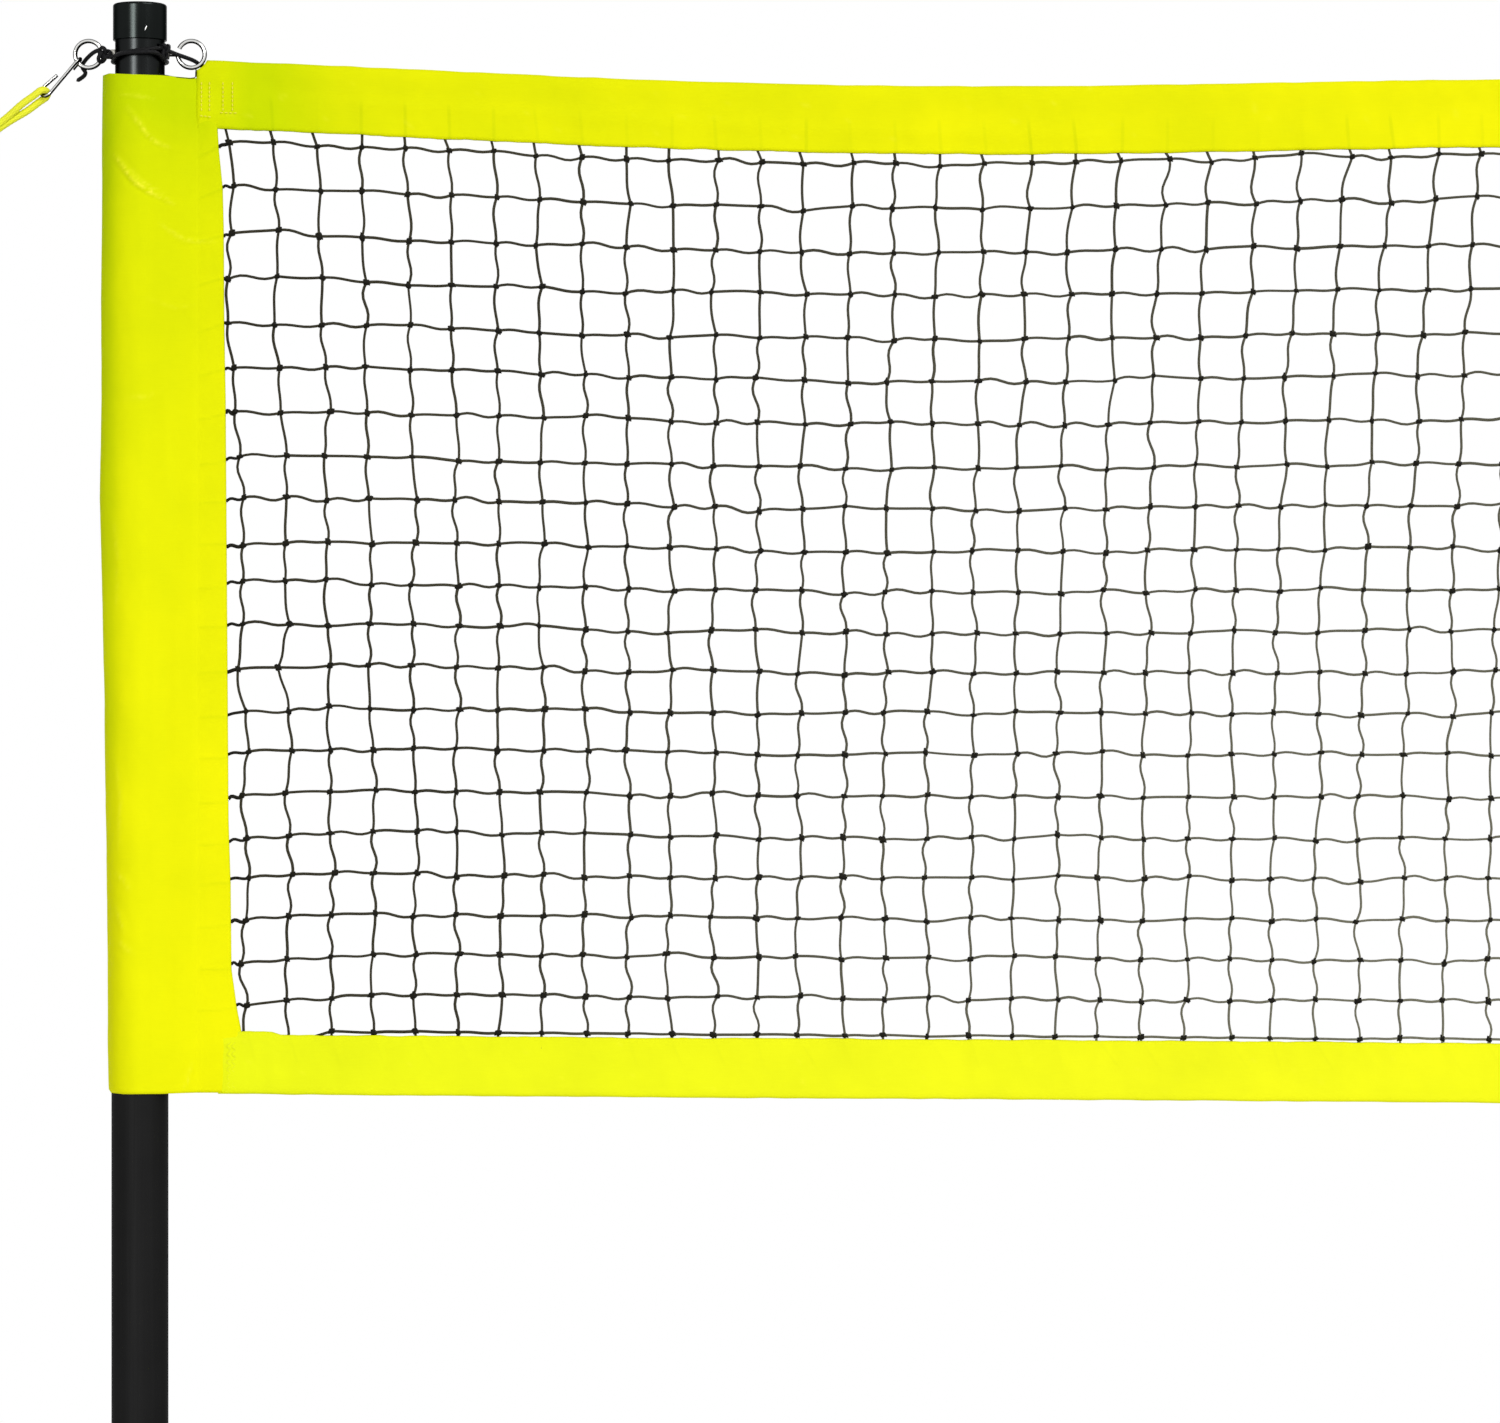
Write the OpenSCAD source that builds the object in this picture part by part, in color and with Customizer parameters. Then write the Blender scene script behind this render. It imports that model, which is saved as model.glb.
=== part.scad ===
/* [Net] */
// Distance between the axes of the two poles
pole_spacing = 9700; // [5000:100:10000]
// Height of the net at its ends, from the lower tape's edge to the upper tape's
net_height = 926; // [760:1:1100]
// Width of one mesh
mesh_w = 38.8; // [30:0.1:60]
// Height of one mesh
mesh_h = 37.9; // [30:0.1:60]
// Thickness of the twine
twine_d = 2.2; // [1.6:0.1:3]
// How far the upper tape sags at mid span
top_sag = 40; // [0:1:80]
// How far the lower tape sags at mid span
bottom_sag = 28; // [0:1:80]

/* [Tapes] */
// Height of the upper tape
top_band_h = 62; // [45:1:80]
// Height of the lower tape
bottom_band_h = 54; // [45:1:80]
// Thickness of the tape and sleeve cloth
cloth_t = 0.8; // [0.5:0.1:1.4]
// Thickness of the cord inside the upper tape
headline_d = 4; // [3:0.1:5]
// Height of the eye bolts above the upper tape's edge
corner_drop = 4.5; // [2:0.5:8]

/* [Sleeves] */
// Room between the pole and the sleeve round it
sleeve_room = 0.8; // [0.4:0.1:2]
// Distance from the pole's surface to the seam that closes the pocket
seam_reach = 26.6; // [22:0.1:36]
// Width of the flat hem past the seam, where the meshes are held
hem_w = 27; // [20:1:40]
// Height of the eye bolts above the sleeve's upper edge
sleeve_drop = 19; // [17:0.5:30]

/* [Poles] */
// Height of the poles, from the ground to the top of the caps
pole_height = 2520; // [2200:5:2700]
// Diameter of the lower and middle tubes
tube_d = 50.8; // [48:0.1:54]
// Wall of the lower and middle tubes
tube_wall = 3.05; // [2.5:0.05:3.5]
// Wall of the upper tubes
top_wall = 2; // [1.5:0.1:2.5]
// Depth that each section plugs into the next
plug_depth = 100; // [80:1:120]
// Room round each plug in its socket
plug_gap = 0.15; // [0.1:0.05:0.3]
// Width of the step that stops the upper section on the middle one
stop_step = 2; // [1.2:0.1:2.4]
// Height of the stop ring on the upper section
stop_h = 5; // [3:0.5:8]
// Height of the end caps
cap_h = 33; // [25:1:36]
// Wall of the end caps
cap_wall = 1.9; // [1.5:0.1:2.5]
// Thickness of the caps' tops
cap_top = 3; // [2:0.5:4]

/* [Feet] */
// Diameter of the foot flanges
flange_d = 79; // [70:1:95]
// Thickness of the flange plate
flange_t = 2; // [1.5:0.5:4]
// Depth of the flange's turned-down rim
flange_rim = 3; // [2:0.5:5]
// Height of the flange plate above the foot's end
flange_lift = 10; // [7:0.5:16]
// Height of the collar that joins the flange to the tube
collar_h = 8; // [4:1:15]
// Thickness of the foot plug's head
foot_t = 3; // [2:0.5:5]
// Depth of the foot plug inside the tube
foot_depth = 20; // [12:1:30]

/* [Eye bolts] */
// Distance from the cap's top down to the eye bolts
eye_drop = 45; // [42:1:60]
// Thickness of the eye bolts
eye_wire = 4; // [3.5:0.1:4.5]
// Radius of the eye, to the middle of its wire
eye_r = 12; // [11:0.1:13]
// Distance from the tube's surface to the middle of the eye
eye_reach = 23.8; // [23:0.1:28]
// Width across the flats of the nuts
nut_w = 8; // [7:0.5:9]
// Thickness of the nuts
nut_t = 4; // [3:0.5:5]

/* [Snap buttons] */
// Diameter of the snap buttons
button_d = 7.3; // [6:0.1:8]
// How far a button stands out of the outer tube
button_out = 3.8; // [3:0.1:5]
// Room round a button in its hole
button_gap = 0.15; // [0.1:0.05:0.3]
// Diameter of the button's base
button_base_d = 10; // [9:0.5:11]
// Thickness of the button's base
button_base_t = 1.2; // [1:0.1:2]
// Thickness of the spring strip behind a button
spring_t = 0.8; // [0.5:0.1:1]
// Width of the spring strip
spring_w = 9; // [7:0.5:10]

/* [Guy ropes] */
// Thickness of the guy ropes
rope_d = 6.4; // [5:0.1:7]
// Thickness of the hooks between the eye bolts and the ropes
hook_wire = 3.2; // [2.6:0.1:3.6]
// Slope of the hooks, in degrees
hook_slope = 50; // [40:1:60]
// Where the hooks hang on the eyes, below their level, in degrees
hook_hang = 35; // [30:1:60]
// Length of the hooks' straight shanks
hook_shank = 34; // [20:1:44]
// Radius of a hook's lower bend, to the middle of its wire
hook_bend = 6.6; // [6.5:0.1:8]
// Length of the rope's loop on the hook
hook_loop = 104; // [80:1:140]
// Distance from a pole to its stakes, along the net's line
stake_out = 3400; // [2400:50:3800]
// Distance from the net's line to each stake
stake_side = 1100; // [600:50:1600]

/* [Stakes] */
// Thickness of the stakes
stake_d = 5; // [4:0.1:6]
// Length of a stake's straight rod
stake_length = 170; // [120:5:260]
// Radius of a stake's ring, to the middle of its wire
stake_ring_r = 9; // [8.6:0.1:12]
// Lean of the stakes away from the poles, in degrees
stake_lean = 35; // [10:1:45]
// Height of a stake's ring above the ground
stake_head = 24; // [18:1:40]

/* [Hidden] */

// Clearance between a soft piece and its neighbours
soft_gap = 0.3;
// Clearance between metal pieces that touch
touch_gap = 0.05;
// Clearance between a rope and the wire it bears on
rope_gap = 0.1;
// How far a linking length laps into the wire on either side
link_lap = 0.2;
// How far a linking bend laps into the wire on either side, in degrees
bend_lap = 3;
// Bevel of turned and moulded edges
edge = 1;

// Radii of the tubes
tube_r = tube_d / 2;
bore_r = tube_r - tube_wall;
plug_r = bore_r - plug_gap;
plug_bore_r = plug_r - tube_wall;
top_bore_r = plug_r - top_wall;

// Heights along a pole. Three sections of one length make up the pole
section_length = (pole_height - cap_top - foot_t + 2 * plug_depth) / 3;
base_top = foot_t + section_length;
mid_bottom = base_top - plug_depth;
mid_top = mid_bottom + section_length;
top_bottom = mid_top - plug_depth;
top_end = top_bottom + section_length;
eye_z = pole_height - eye_drop;
// Depth of a snap button below the rim it locks
button_depth = plug_depth / 2;
// Height over which a tube is drawn in to its plug, inside
swage_h = 10;

// The eye bolts' places
eye_x = plug_r + eye_reach;
// Radius of the bend between an eye bolt's shank and its eye
eye_bend = 3.5;
// Room between the eye's end and its shank, in degrees
eye_open = 26;
// Height of the eye's lowest point below the bolt's axis
eye_low = eye_r + eye_wire / 2;

// The net's line. z is the height at the ends
net_top = eye_z - corner_drop;
net_bottom = net_top - net_height;
seam_x = tube_r + seam_reach;
hem_x = seam_x + hem_w;
// Half width of the stitched seam, and half the pocket's width where it closes
seam_w = 4;
pocket_end = 0.8;
span_steps = 40;
// Half thicknesses, from the net outwards
hem_in = twine_d + soft_gap;
hem_out = hem_in + cloth_t;
band_in = hem_out + soft_gap;
band_out = band_in + cloth_t;
// The tapes start just past the seam, clear of the pocket's curve
band_x = seam_x + 1;
// The upper tape's corner is cut away round the eye
notch_x = eye_x + eye_low + 1.5;
notch_z = eye_z - eye_low - 1;
// The headline lies in the fold of the upper tape
headline_z = net_top - cloth_t - soft_gap - headline_d / 2;
headline_x = notch_x + 2.5;
sleeve_top = eye_z - sleeve_drop;
sleeve_bottom = net_bottom + cloth_t + soft_gap;
// Distance from the upper edge down to the highest row of knots
first_row = 36;
row_count = floor((net_height - first_row - bottom_band_h / 4) / mesh_h) + 1;
first_upright = hem_x + soft_gap + twine_d / 2;
column_count = round((pole_spacing - 2 * first_upright) / mesh_w);
column_pitch = (pole_spacing - 2 * first_upright) / column_count;
// Length of the strands' ends inside the tapes
strand_end = 22;

// The hook hangs from the eye's lower outer side, and pulls along its slope
hook_dir = [-cos(hook_slope), 0, -sin(hook_slope)];
hook_up = [-sin(hook_slope), 0, cos(hook_slope)];
eye_centre = [-eye_x, 0, eye_z];
eye_hold = eye_centre - eye_r * [cos(hook_hang), 0, sin(hook_hang)];
// Distance between the eye's wire and the hook's, where they cross
hook_hold = (hook_wire / 2 + eye_wire / 2 + rope_gap) / cos(hook_slope - hook_hang);
// Upper bend: round the eye's wire, front to back
hook_top_r = hook_wire + eye_wire / 2 + 1;
hook_top = eye_hold + (hook_top_r - hook_hold) * hook_dir;
// Lower bend: turned half way towards the viewer
hook_turn = 45;
hook_side = cos(hook_turn) * hook_up + sin(hook_turn) * [0, 1, 0];
hook_foot = hook_top + [0, -hook_top_r, 0] + hook_shank * hook_dir;
hook_centre = hook_foot + hook_bend * hook_side;
// How far the lower bend closes past half a turn, in degrees
hook_close = 15;
// Straight ends past the lower and the upper bend
hook_tip = 14;
hook_back = 5;

// Middle of the two stakes' rings, which the guy rope's loop points at
stake_mid = [-stake_out, 0, stake_head];
// The guy rope bears on the lower bend where its pull points
hook_normal = cross(hook_side, hook_dir);
rope_pull = unit(stake_mid - hook_centre);
rope_bear = unit(rope_pull - (rope_pull * hook_normal) * hook_normal);
rope_hold = hook_centre + hook_bend * rope_bear;
rope_bight = hook_wire / 2 + rope_d / 2 + rope_gap;
knot_r = 1.25 * rope_d;
knot_neck_r = rope_d + 0.4;
knot_h = 20;
stake_loop = 46;
loop_dir = unit(stake_mid - rope_hold);
loop_side = unit(cross(cross(hook_normal, rope_bear), loop_dir));
loop_end = rope_hold + hook_loop * loop_dir;
knot_end = loop_end + knot_h * loop_dir;
// How far each leg's end reaches back beside the knot's end
leg_lap = 1.6;
// Radius of the bend between a stake's rod and its ring
stake_bend = 4;
// Room between the ring's end and the rod, in degrees
stake_open = 24;
stake_tip = 14;
stake_point_d = 1;

// Route of the tie cord at a left pole, from the headline to its loose end.
// x and y are from the pole's axis, z from the eye bolts' height.
tie_start = [headline_x, 0, headline_z - net_top + top_at(headline_x) - eye_z];
tie_route = [
    tie_start - [2, 0, 0], [60.2, 0.8, -9.6], [58, 3, -10.2], [54.5, 5.6, -9.6],
    [50, 3, -6.4], [46, 0, -4.6],
    [41, -3.6, -3], [35, -6.8, -1.2], [29.5, -9.6, 0.8], [25, -11, 2.6]
];
tie_crossing = [-28, -46, -64, -82, -100, -118, -136, -152];
tie_tail = [
    [-27, -9.4, -3.4], [-31, -8.4, -2], [-36, -6.4, 2.6], [-41, -3.6, 1.4],
    [-46, 0, -2], [-50, 4.6, -5.4], [-52.6, 8.6, -8.4], [-52.4, 11, -11.4],
    [-50.4, 11.4, -14.2], [-50.6, 10.8, -17], [-53.6, 9.6, -20], [-58, 8.4, -23]
];
// The cord's height where it starts across the pole, and how far it falls there
tie_high = 4.4;
tie_fall = 7.4;
// Thickness of the cord's knots beside the nuts
tie_knot_d = 8;

function unit(v) = v / norm(v);

// Sag of the net at a place along its line, as a share of the sag at mid span
function sag(x) = 1 - pow(2 * x / pole_spacing - 1, 2);
function top_at(x) = net_top - top_sag * sag(x);
function bottom_at(x) = net_bottom - bottom_sag * sag(x);
// Height of a level that lies a share of the way down from the upper edge
function level_at(x, share) = top_at(x) + share * (bottom_at(x) - top_at(x));
// Places along the net's line, from one end to the other
function stations(first, last) = [
    for (i = [0:span_steps]) first + (last - first) * i / span_steps
];
function reversed(list) = [for (i = [len(list) - 1:-1:0]) list[i]];

// A strip with a lower and an upper edge, stood up in the net's plane
module upright_strip(lower, upper, y0, y1)
    translate([0, y1, 0])
        rotate([90, 0, 0])
            linear_extrude(y1 - y0)
                polygon(concat(lower, reversed(upper)));

// Places its children with their x and y along two given directions
module placed(at, ex, ey) {
    ez = cross(ex, ey);
    multmatrix([
        [ex.x, ey.x, ez.x, at.x],
        [ex.y, ey.y, ez.y, at.y],
        [ex.z, ey.z, ez.z, at.z]
    ])
        children();
}

// A direction square to another one
function square_to(t) = unit(cross(abs(t.z) < 0.9 ? [0, 0, 1] : [1, 0, 0], t));

// Stands its children, drawn along z, on a point and along a direction
module along(at, dir) {
    t = unit(dir);
    ex = square_to(t);
    placed(at, ex, cross(t, ex)) children();
}

module rod(from, to, d)
    along(from, to - from) cylinder(d = d, h = norm(to - from), $fn = 32);

// A bend of round wire about z, from the x direction round
module wire_bend(r, d, angle)
    rotate_extrude(angle = angle, $fn = 64)
        translate([r, 0])
            circle(d = d, $fn = 32);

// A length between two bends. It is a hair thinner, and laps into both
module link_rod(from, to, d) {
    lap = link_lap * unit(to - from);
    rod(from - lap, to + lap, d - 2 * touch_gap);
}

// The direction of a route at one of its points
function heading(p, i) = unit(p[min(i + 1, len(p) - 1)] - p[max(i - 1, 0)]);
// Side directions along a route, each turned as little as possible
function sides_along(p, i, n) =
    i == len(p) ? [] :
    let (t = heading(p, i), m = unit(n - (n * t) * t))
    concat([m], sides_along(p, i + 1, m));

// A cord swept along a route, with a thickness for each point
module cord(p, d, start) {
    sides = 8;
    n = sides_along(p, 0, start);
    rings = [
        for (i = [0:len(p) - 1], k = [0:sides - 1])
            let (t = heading(p, i), a = 360 * k / sides)
            p[i] + d[i] / 2 * (cos(a) * n[i] + sin(a) * cross(t, n[i]))
    ];
    walls = [
        for (i = [0:len(p) - 2], k = [0:sides - 1])
            let (a = i * sides + k, b = i * sides + (k + 1) % sides)
            each [[a, a + sides, b], [b, a + sides, b + sides]]
    ];
    first = [for (k = [0:sides - 1]) k];
    last = [for (k = [sides - 1:-1:0]) (len(p) - 1) * sides + k];
    polyhedron(rings, concat([first], walls, [last]), convexity = 6);
}

// A wire shank along x that bends off into an eye centred on its own line
module pigtail(shank, wire, ring_r, bend_r, opening) {
    turn = acos(bend_r / (bend_r + ring_r));
    centre = shank + (bend_r + ring_r) * sin(turn);
    rod([0, 0, 0], [shank, 0, 0], wire);
    placed([shank, 0, -bend_r], [sin(turn), 0, cos(turn)], [-cos(turn), 0, sin(turn)])
        rotate([0, 0, -bend_lap])
            wire_bend(bend_r, wire - 2 * touch_gap, turn + 2 * bend_lap);
    placed([centre, 0, 0], [-sin(turn), 0, -cos(turn)], [cos(turn), 0, -sin(turn)])
        wire_bend(ring_r, wire, 270 + turn - opening);
}
// Length from a pigtail's shank end to the middle of its eye
function pigtail_neck(ring_r, bend_r) = sqrt(pow(bend_r + ring_r, 2) - pow(bend_r, 2));

module nut()
    difference() {
        cylinder(d = nut_w / cos(30), h = nut_t, $fn = 6);
        translate([0, 0, -1])
            cylinder(r = eye_wire / 2 + touch_gap, h = nut_t + 2, $fn = 32);
    }

// A round hole across a tube's wall on the net's side
module side_hole(z, d, from, to)
    translate([from, 0, z])
        rotate([0, 90, 0])
            cylinder(d = d, h = to - from, $fn = 32);

// ---- the pieces of a left pole, with its axis on z ----

module top_section()
    color("#1c1c1e")
        difference() {
            union() {
                translate([0, 0, top_bottom])
                    cylinder(r = plug_r, h = section_length, $fn = 96);
                translate([0, 0, mid_top])
                    cylinder(r = plug_r + stop_step, h = stop_h, $fn = 96);
            }
            translate([0, 0, top_bottom - 1])
                cylinder(r = top_bore_r, h = section_length + 2, $fn = 96);
            side_hole(mid_top - button_depth, button_d + 2 * button_gap, 0, tube_d);
            side_hole(eye_z, eye_wire + 4 * touch_gap, -tube_d, tube_d);
        }

// A section that is drawn in to a plug at its lower end
module mid_section()
    color("#1c1c1e")
        difference() {
            rotate_extrude($fn = 96)
                polygon([
                    [plug_bore_r, mid_bottom], [plug_r - edge, mid_bottom],
                    [plug_r, mid_bottom + edge], [plug_r, base_top], [tube_r, base_top],
                    [tube_r, mid_top], [bore_r, mid_top], [bore_r, base_top + 2 * swage_h],
                    [plug_bore_r, base_top + swage_h]
                ]);
            side_hole(mid_top - button_depth, button_d + 4 * button_gap, 0, tube_d);
            side_hole(base_top - button_depth, button_d + 2 * button_gap, 0, tube_d);
        }

module base_section()
    color("#1c1c1e")
        difference() {
            translate([0, 0, foot_t])
                cylinder(r = tube_r, h = section_length, $fn = 96);
            translate([0, 0, foot_t - 1])
                cylinder(r = bore_r, h = section_length + 2, $fn = 96);
            side_hole(base_top - button_depth, button_d + 4 * button_gap, 0, tube_d);
        }

module base_flange() {
    inner = tube_r + touch_gap;
    outer = flange_d / 2;
    low = flange_lift - flange_rim;
    high = flange_lift + flange_t;
    color("#242426")
        rotate_extrude($fn = 96)
            polygon([
                [inner, flange_lift], [outer - flange_t, flange_lift],
                [outer - flange_t, low], [outer, low], [outer, high - edge],
                [outer - edge, high], [inner + flange_t + edge, high],
                [inner + flange_t, high + edge], [inner + flange_t, high + collar_h],
                [inner, high + collar_h]
            ]);
}

module foot_plug()
    color("#151516") {
        shank_r = bore_r - touch_gap;
        rotate_extrude($fn = 96)
            polygon([
                [0, 0], [tube_r - edge, 0], [tube_r, edge], [tube_r, foot_t],
                [shank_r, foot_t], [shank_r, foot_t + foot_depth - edge],
                [shank_r - edge, foot_t + foot_depth], [0, foot_t + foot_depth]
            ]);
    }

module top_cap() {
    inner = plug_r + touch_gap;
    outer = plug_r + cap_wall;
    low = pole_height - cap_h;
    round_r = 2.4;
    color("#161618")
        rotate_extrude($fn = 96)
            polygon(concat(
                [[0, top_end], [inner, top_end], [inner, low], [outer - edge / 2, low]],
                [[outer, low + edge / 2]],
                [
                    for (a = [0:22.5:90])
                        [outer, pole_height] - round_r * [1 - cos(a), 1 - sin(a)]
                ],
                [[0, pole_height]]
            ));
}

// An eye bolt through the tube's wall on the net's side
module inner_eye_bolt() {
    past_nut = 5;
    end_x = top_bore_r - nut_t - past_nut;
    shank = eye_x - pigtail_neck(eye_r, eye_bend) - end_x;
    color("#c4c6c8")
        translate([end_x, 0, eye_z])
            pigtail(shank, eye_wire, eye_r, eye_bend, eye_open);
}

module outer_eye_bolt()
    mirror([1, 0, 0]) inner_eye_bolt();

// A nut outside and a nut inside the wall, on both bolts
module eye_nuts() {
    nut_corner = nut_w / 2 / cos(30);
    inside = sqrt(pow(top_bore_r, 2) - pow(nut_corner, 2)) - touch_gap;
    color("#b4b6b8")
        for (side = [0, 1], x = [plug_r + touch_gap, inside - nut_t])
            mirror([side, 0, 0])
                translate([x, 0, eye_z])
                    rotate([0, 90, 0])
                        nut();
}

// The place of a button's base, clear of the plug's bore
function base_face(bore) = sqrt(pow(bore, 2) - pow(button_base_d / 2, 2)) - 2 * touch_gap;

module snap_button(z, bore) {
    base = base_face(bore) - button_base_t;
    high = tube_r + button_out - base;
    r = button_d / 2;
    dome = 1.6;
    color("#c8cacc")
        translate([base, 0, z])
            rotate([0, 90, 0])
                rotate_extrude($fn = 48)
                    polygon(concat(
                        [[0, 0], [button_base_d / 2, 0], [button_base_d / 2, button_base_t]],
                        [[r, button_base_t]],
                        [for (a = [0:15:90]) [r - dome, high - dome] + dome * [cos(a), sin(a)]],
                        [[0, high]]
                    ));
}

// A strip bent to a V inside the plug, with the button's base on one leg
module button_spring(z, bore) {
    front = base_face(bore) - button_base_t;
    back = -(sqrt(pow(bore, 2) - pow(spring_w / 2, 2)) - touch_gap);
    // The V's fold, above the plug's rim, and its legs' ends past the base
    reach = button_depth - 8;
    leg = button_base_d / 2 + 2;
    color("#a8aaac")
        translate([0, spring_w / 2, z])
            rotate([90, 0, 0])
                linear_extrude(spring_w)
                    polygon([
                        [front, leg], [front, -leg], [0, -reach], [back, -leg], [back, leg],
                        [back + spring_t, leg], [back + spring_t, -leg],
                        [0, 2 * spring_t - reach], [front - spring_t, -leg],
                        [front - spring_t, leg]
                    ]);
}

module upper_button() snap_button(mid_top - button_depth, top_bore_r);
module upper_spring() button_spring(mid_top - button_depth, top_bore_r);
module lower_button() snap_button(base_top - button_depth, plug_bore_r);
module lower_spring() button_spring(base_top - button_depth, plug_bore_r);

// ---- the guy rope of a left pole ----

module s_hook() {
    back_leg = hook_top + [0, hook_top_r, 0];
    tip = hook_centre + hook_bend * (cos(hook_close) * hook_side - sin(hook_close) * hook_dir);
    tip_dir = -cos(hook_close) * hook_dir - sin(hook_close) * hook_side;
    color("#bcbec0") {
        placed(hook_top, [0, -1, 0], -hook_dir) wire_bend(hook_top_r, hook_wire, 180);
        link_rod(back_leg, back_leg + hook_back * hook_dir, hook_wire);
        link_rod(hook_top + [0, -hook_top_r, 0], hook_foot, hook_wire);
        placed(hook_centre, -hook_side, hook_dir)
            wire_bend(hook_bend, hook_wire, 180 + hook_close);
        link_rod(tip, tip + hook_tip * tip_dir, hook_wire);
    }
}

// One strand of a loop: places along it, as shares of its length, and how far it is
// from the neck's half width there, as a share of the way to the bight's
loop_shape = [[0.1, 1.1], [0.2, 1.1], [0.3, 0.4], [0.38, 0.03], [0.6, 0], [1, 0]];
// A loop of rope round a wire: out to a bight and back, in the plane of dir and side
function loop_route(hold, dir, side, bight, length) =
    let (
        neck = rope_d / 2 + rope_gap,
        strand = [for (b = loop_shape) [length * b[0], neck + b[1] * (bight - neck)]]
    ) [
        for (q = concat(
            reversed(strand),
            [for (a = [90:30:270]) bight * [cos(a), sin(a)]],
            [for (b = strand) [b.x, -b.y]]
        ))
            hold + q.x * dir + q.y * side
    ];

module rope_loop(hold, dir, side, bight, length) {
    route = loop_route(hold, dir, side, bight, length);
    cord(route, [for (q = route) rope_d], cross(dir, side));
}

module knot(from, dir)
    along(from + rope_gap * unit(dir), dir)
        rotate_extrude($fn = 32)
            polygon([
                [0, 0], [knot_neck_r, 0], [knot_r, knot_h / 3], [knot_r, knot_h * 2 / 3],
                [knot_neck_r, knot_h - 2 * rope_gap], [0, knot_h - 2 * rope_gap]
            ]);

// Where a stake's ring is, and the way its rope pulls
function ring_at(side) = [-stake_out, side * stake_side, stake_head];
function pull_at(side) = unit(knot_end - ring_at(side));
// The ring's wire that the rope bears on
function wire_at(side) = ring_at(side) + stake_ring_r * pull_at(side);
function level_side(dir) = unit(cross([0, 0, 1], dir));

module guy_leg(side) {
    dir = pull_at(side);
    bight = stake_d / 2 + rope_d / 2 + rope_gap;
    low_knot = wire_at(side) + stake_loop * dir;
    start = knot_end + [0, side * (rope_d / 2 + soft_gap), 0] - leg_lap * dir;
    rope_loop(wire_at(side), dir, level_side(dir), bight, stake_loop);
    knot(low_knot, dir);
    rod(low_knot + knot_h * dir, start, rope_d);
}

module guy_rope()
    color("#c8e020") {
        rope_loop(rope_hold, loop_dir, loop_side, rope_bight, hook_loop);
        knot(loop_end, loop_dir);
        for (side = [-1, 1])
            guy_leg(side);
    }

// A stake leans away from the pole, with its ring in the rope's own plane
module stake(side) {
    dir = pull_at(side);
    out = unit([-dir.x, -dir.y, 0]);
    up = [0, 0, 1];
    axis = cos(stake_lean) * up + sin(stake_lean) * out;
    across = sin(stake_lean) * up - cos(stake_lean) * out;
    neck = pigtail_neck(stake_ring_r, stake_bend);
    foot = ring_at(side) - (neck + stake_length) * axis;
    color("#b8babc") {
        placed(foot, axis, cross(across, axis))
            pigtail(stake_length, stake_d, stake_ring_r, stake_bend, stake_open);
        along(foot + link_lap * axis, -axis)
            cylinder(d1 = stake_d - 2 * touch_gap, d2 = stake_point_d, h = stake_tip, $fn = 32);
    }
}

module front_stake() stake(-1);
module back_stake() stake(1);

// ---- the soft pieces of a left end ----

// Outline of a pocket round the pole that tapers to a seam
function pocket(r, x, half) =
    let (turn = atan2(half, x) + acos(r / norm([x, half])))
    concat(
        [[x, half]],
        [for (i = [0:32]) let (a = turn + (360 - 2 * turn) * i / 32) r * [cos(a), sin(a)]],
        [[x, -half]]
    );

module sleeve() {
    inner_r = tube_r + sleeve_room;
    color("#d8ea10")
        translate([0, 0, sleeve_bottom])
            linear_extrude(sleeve_top - sleeve_bottom)
                difference() {
                    polygon(concat(
                        pocket(inner_r + cloth_t, seam_x, hem_out),
                        [[hem_x, -hem_out], [hem_x, -hem_in], [seam_x + seam_w, -hem_in]],
                        [[seam_x + seam_w, hem_in], [hem_x, hem_in], [hem_x, hem_out]]
                    ));
                    polygon(pocket(inner_r, seam_x - seam_w, pocket_end));
                }
}

module tie_cord() {
    r = plug_r + headline_d / 2 + soft_gap;
    crossing = [
        for (i = [0:len(tie_crossing) - 1])
            let (a = tie_crossing[i])
            [r * cos(a), r * sin(a), tie_high - tie_fall * i / (len(tie_crossing) - 1)]
    ];
    route = concat([tie_start], tie_route, crossing, tie_tail);
    last_bend = len(tie_route) + len(tie_crossing);
    thick = [
        for (i = [0:len(route) - 1])
            i == len(tie_route) || i == last_bend + 2 ? tie_knot_d : headline_d
    ];
    color("#101010")
        translate([0, 0, eye_z])
            cord(route, thick, [0, 0, 1]);
}

// ---- the net ----

module net_uprights()
    color("#3c3a28")
        for (i = [0:column_count]) {
            x = first_upright + i * column_pitch;
            low = bottom_at(x) + strand_end;
            translate([x - twine_d / 2, -twine_d, low])
                cube([twine_d, twine_d, top_at(x) - strand_end - low]);
        }

module net_rows()
    color("#3c3a28")
        for (k = [0:row_count - 1]) {
            share = (first_row + k * mesh_h) / net_height;
            xs = stations(seam_x + seam_w + soft_gap, pole_spacing - seam_x - seam_w - soft_gap);
            upright_strip(
                [for (x = xs) [x, level_at(x, share) - twine_d / 2]],
                [for (x = xs) [x, level_at(x, share) + twine_d / 2]],
                0, twine_d
            );
        }

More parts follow.
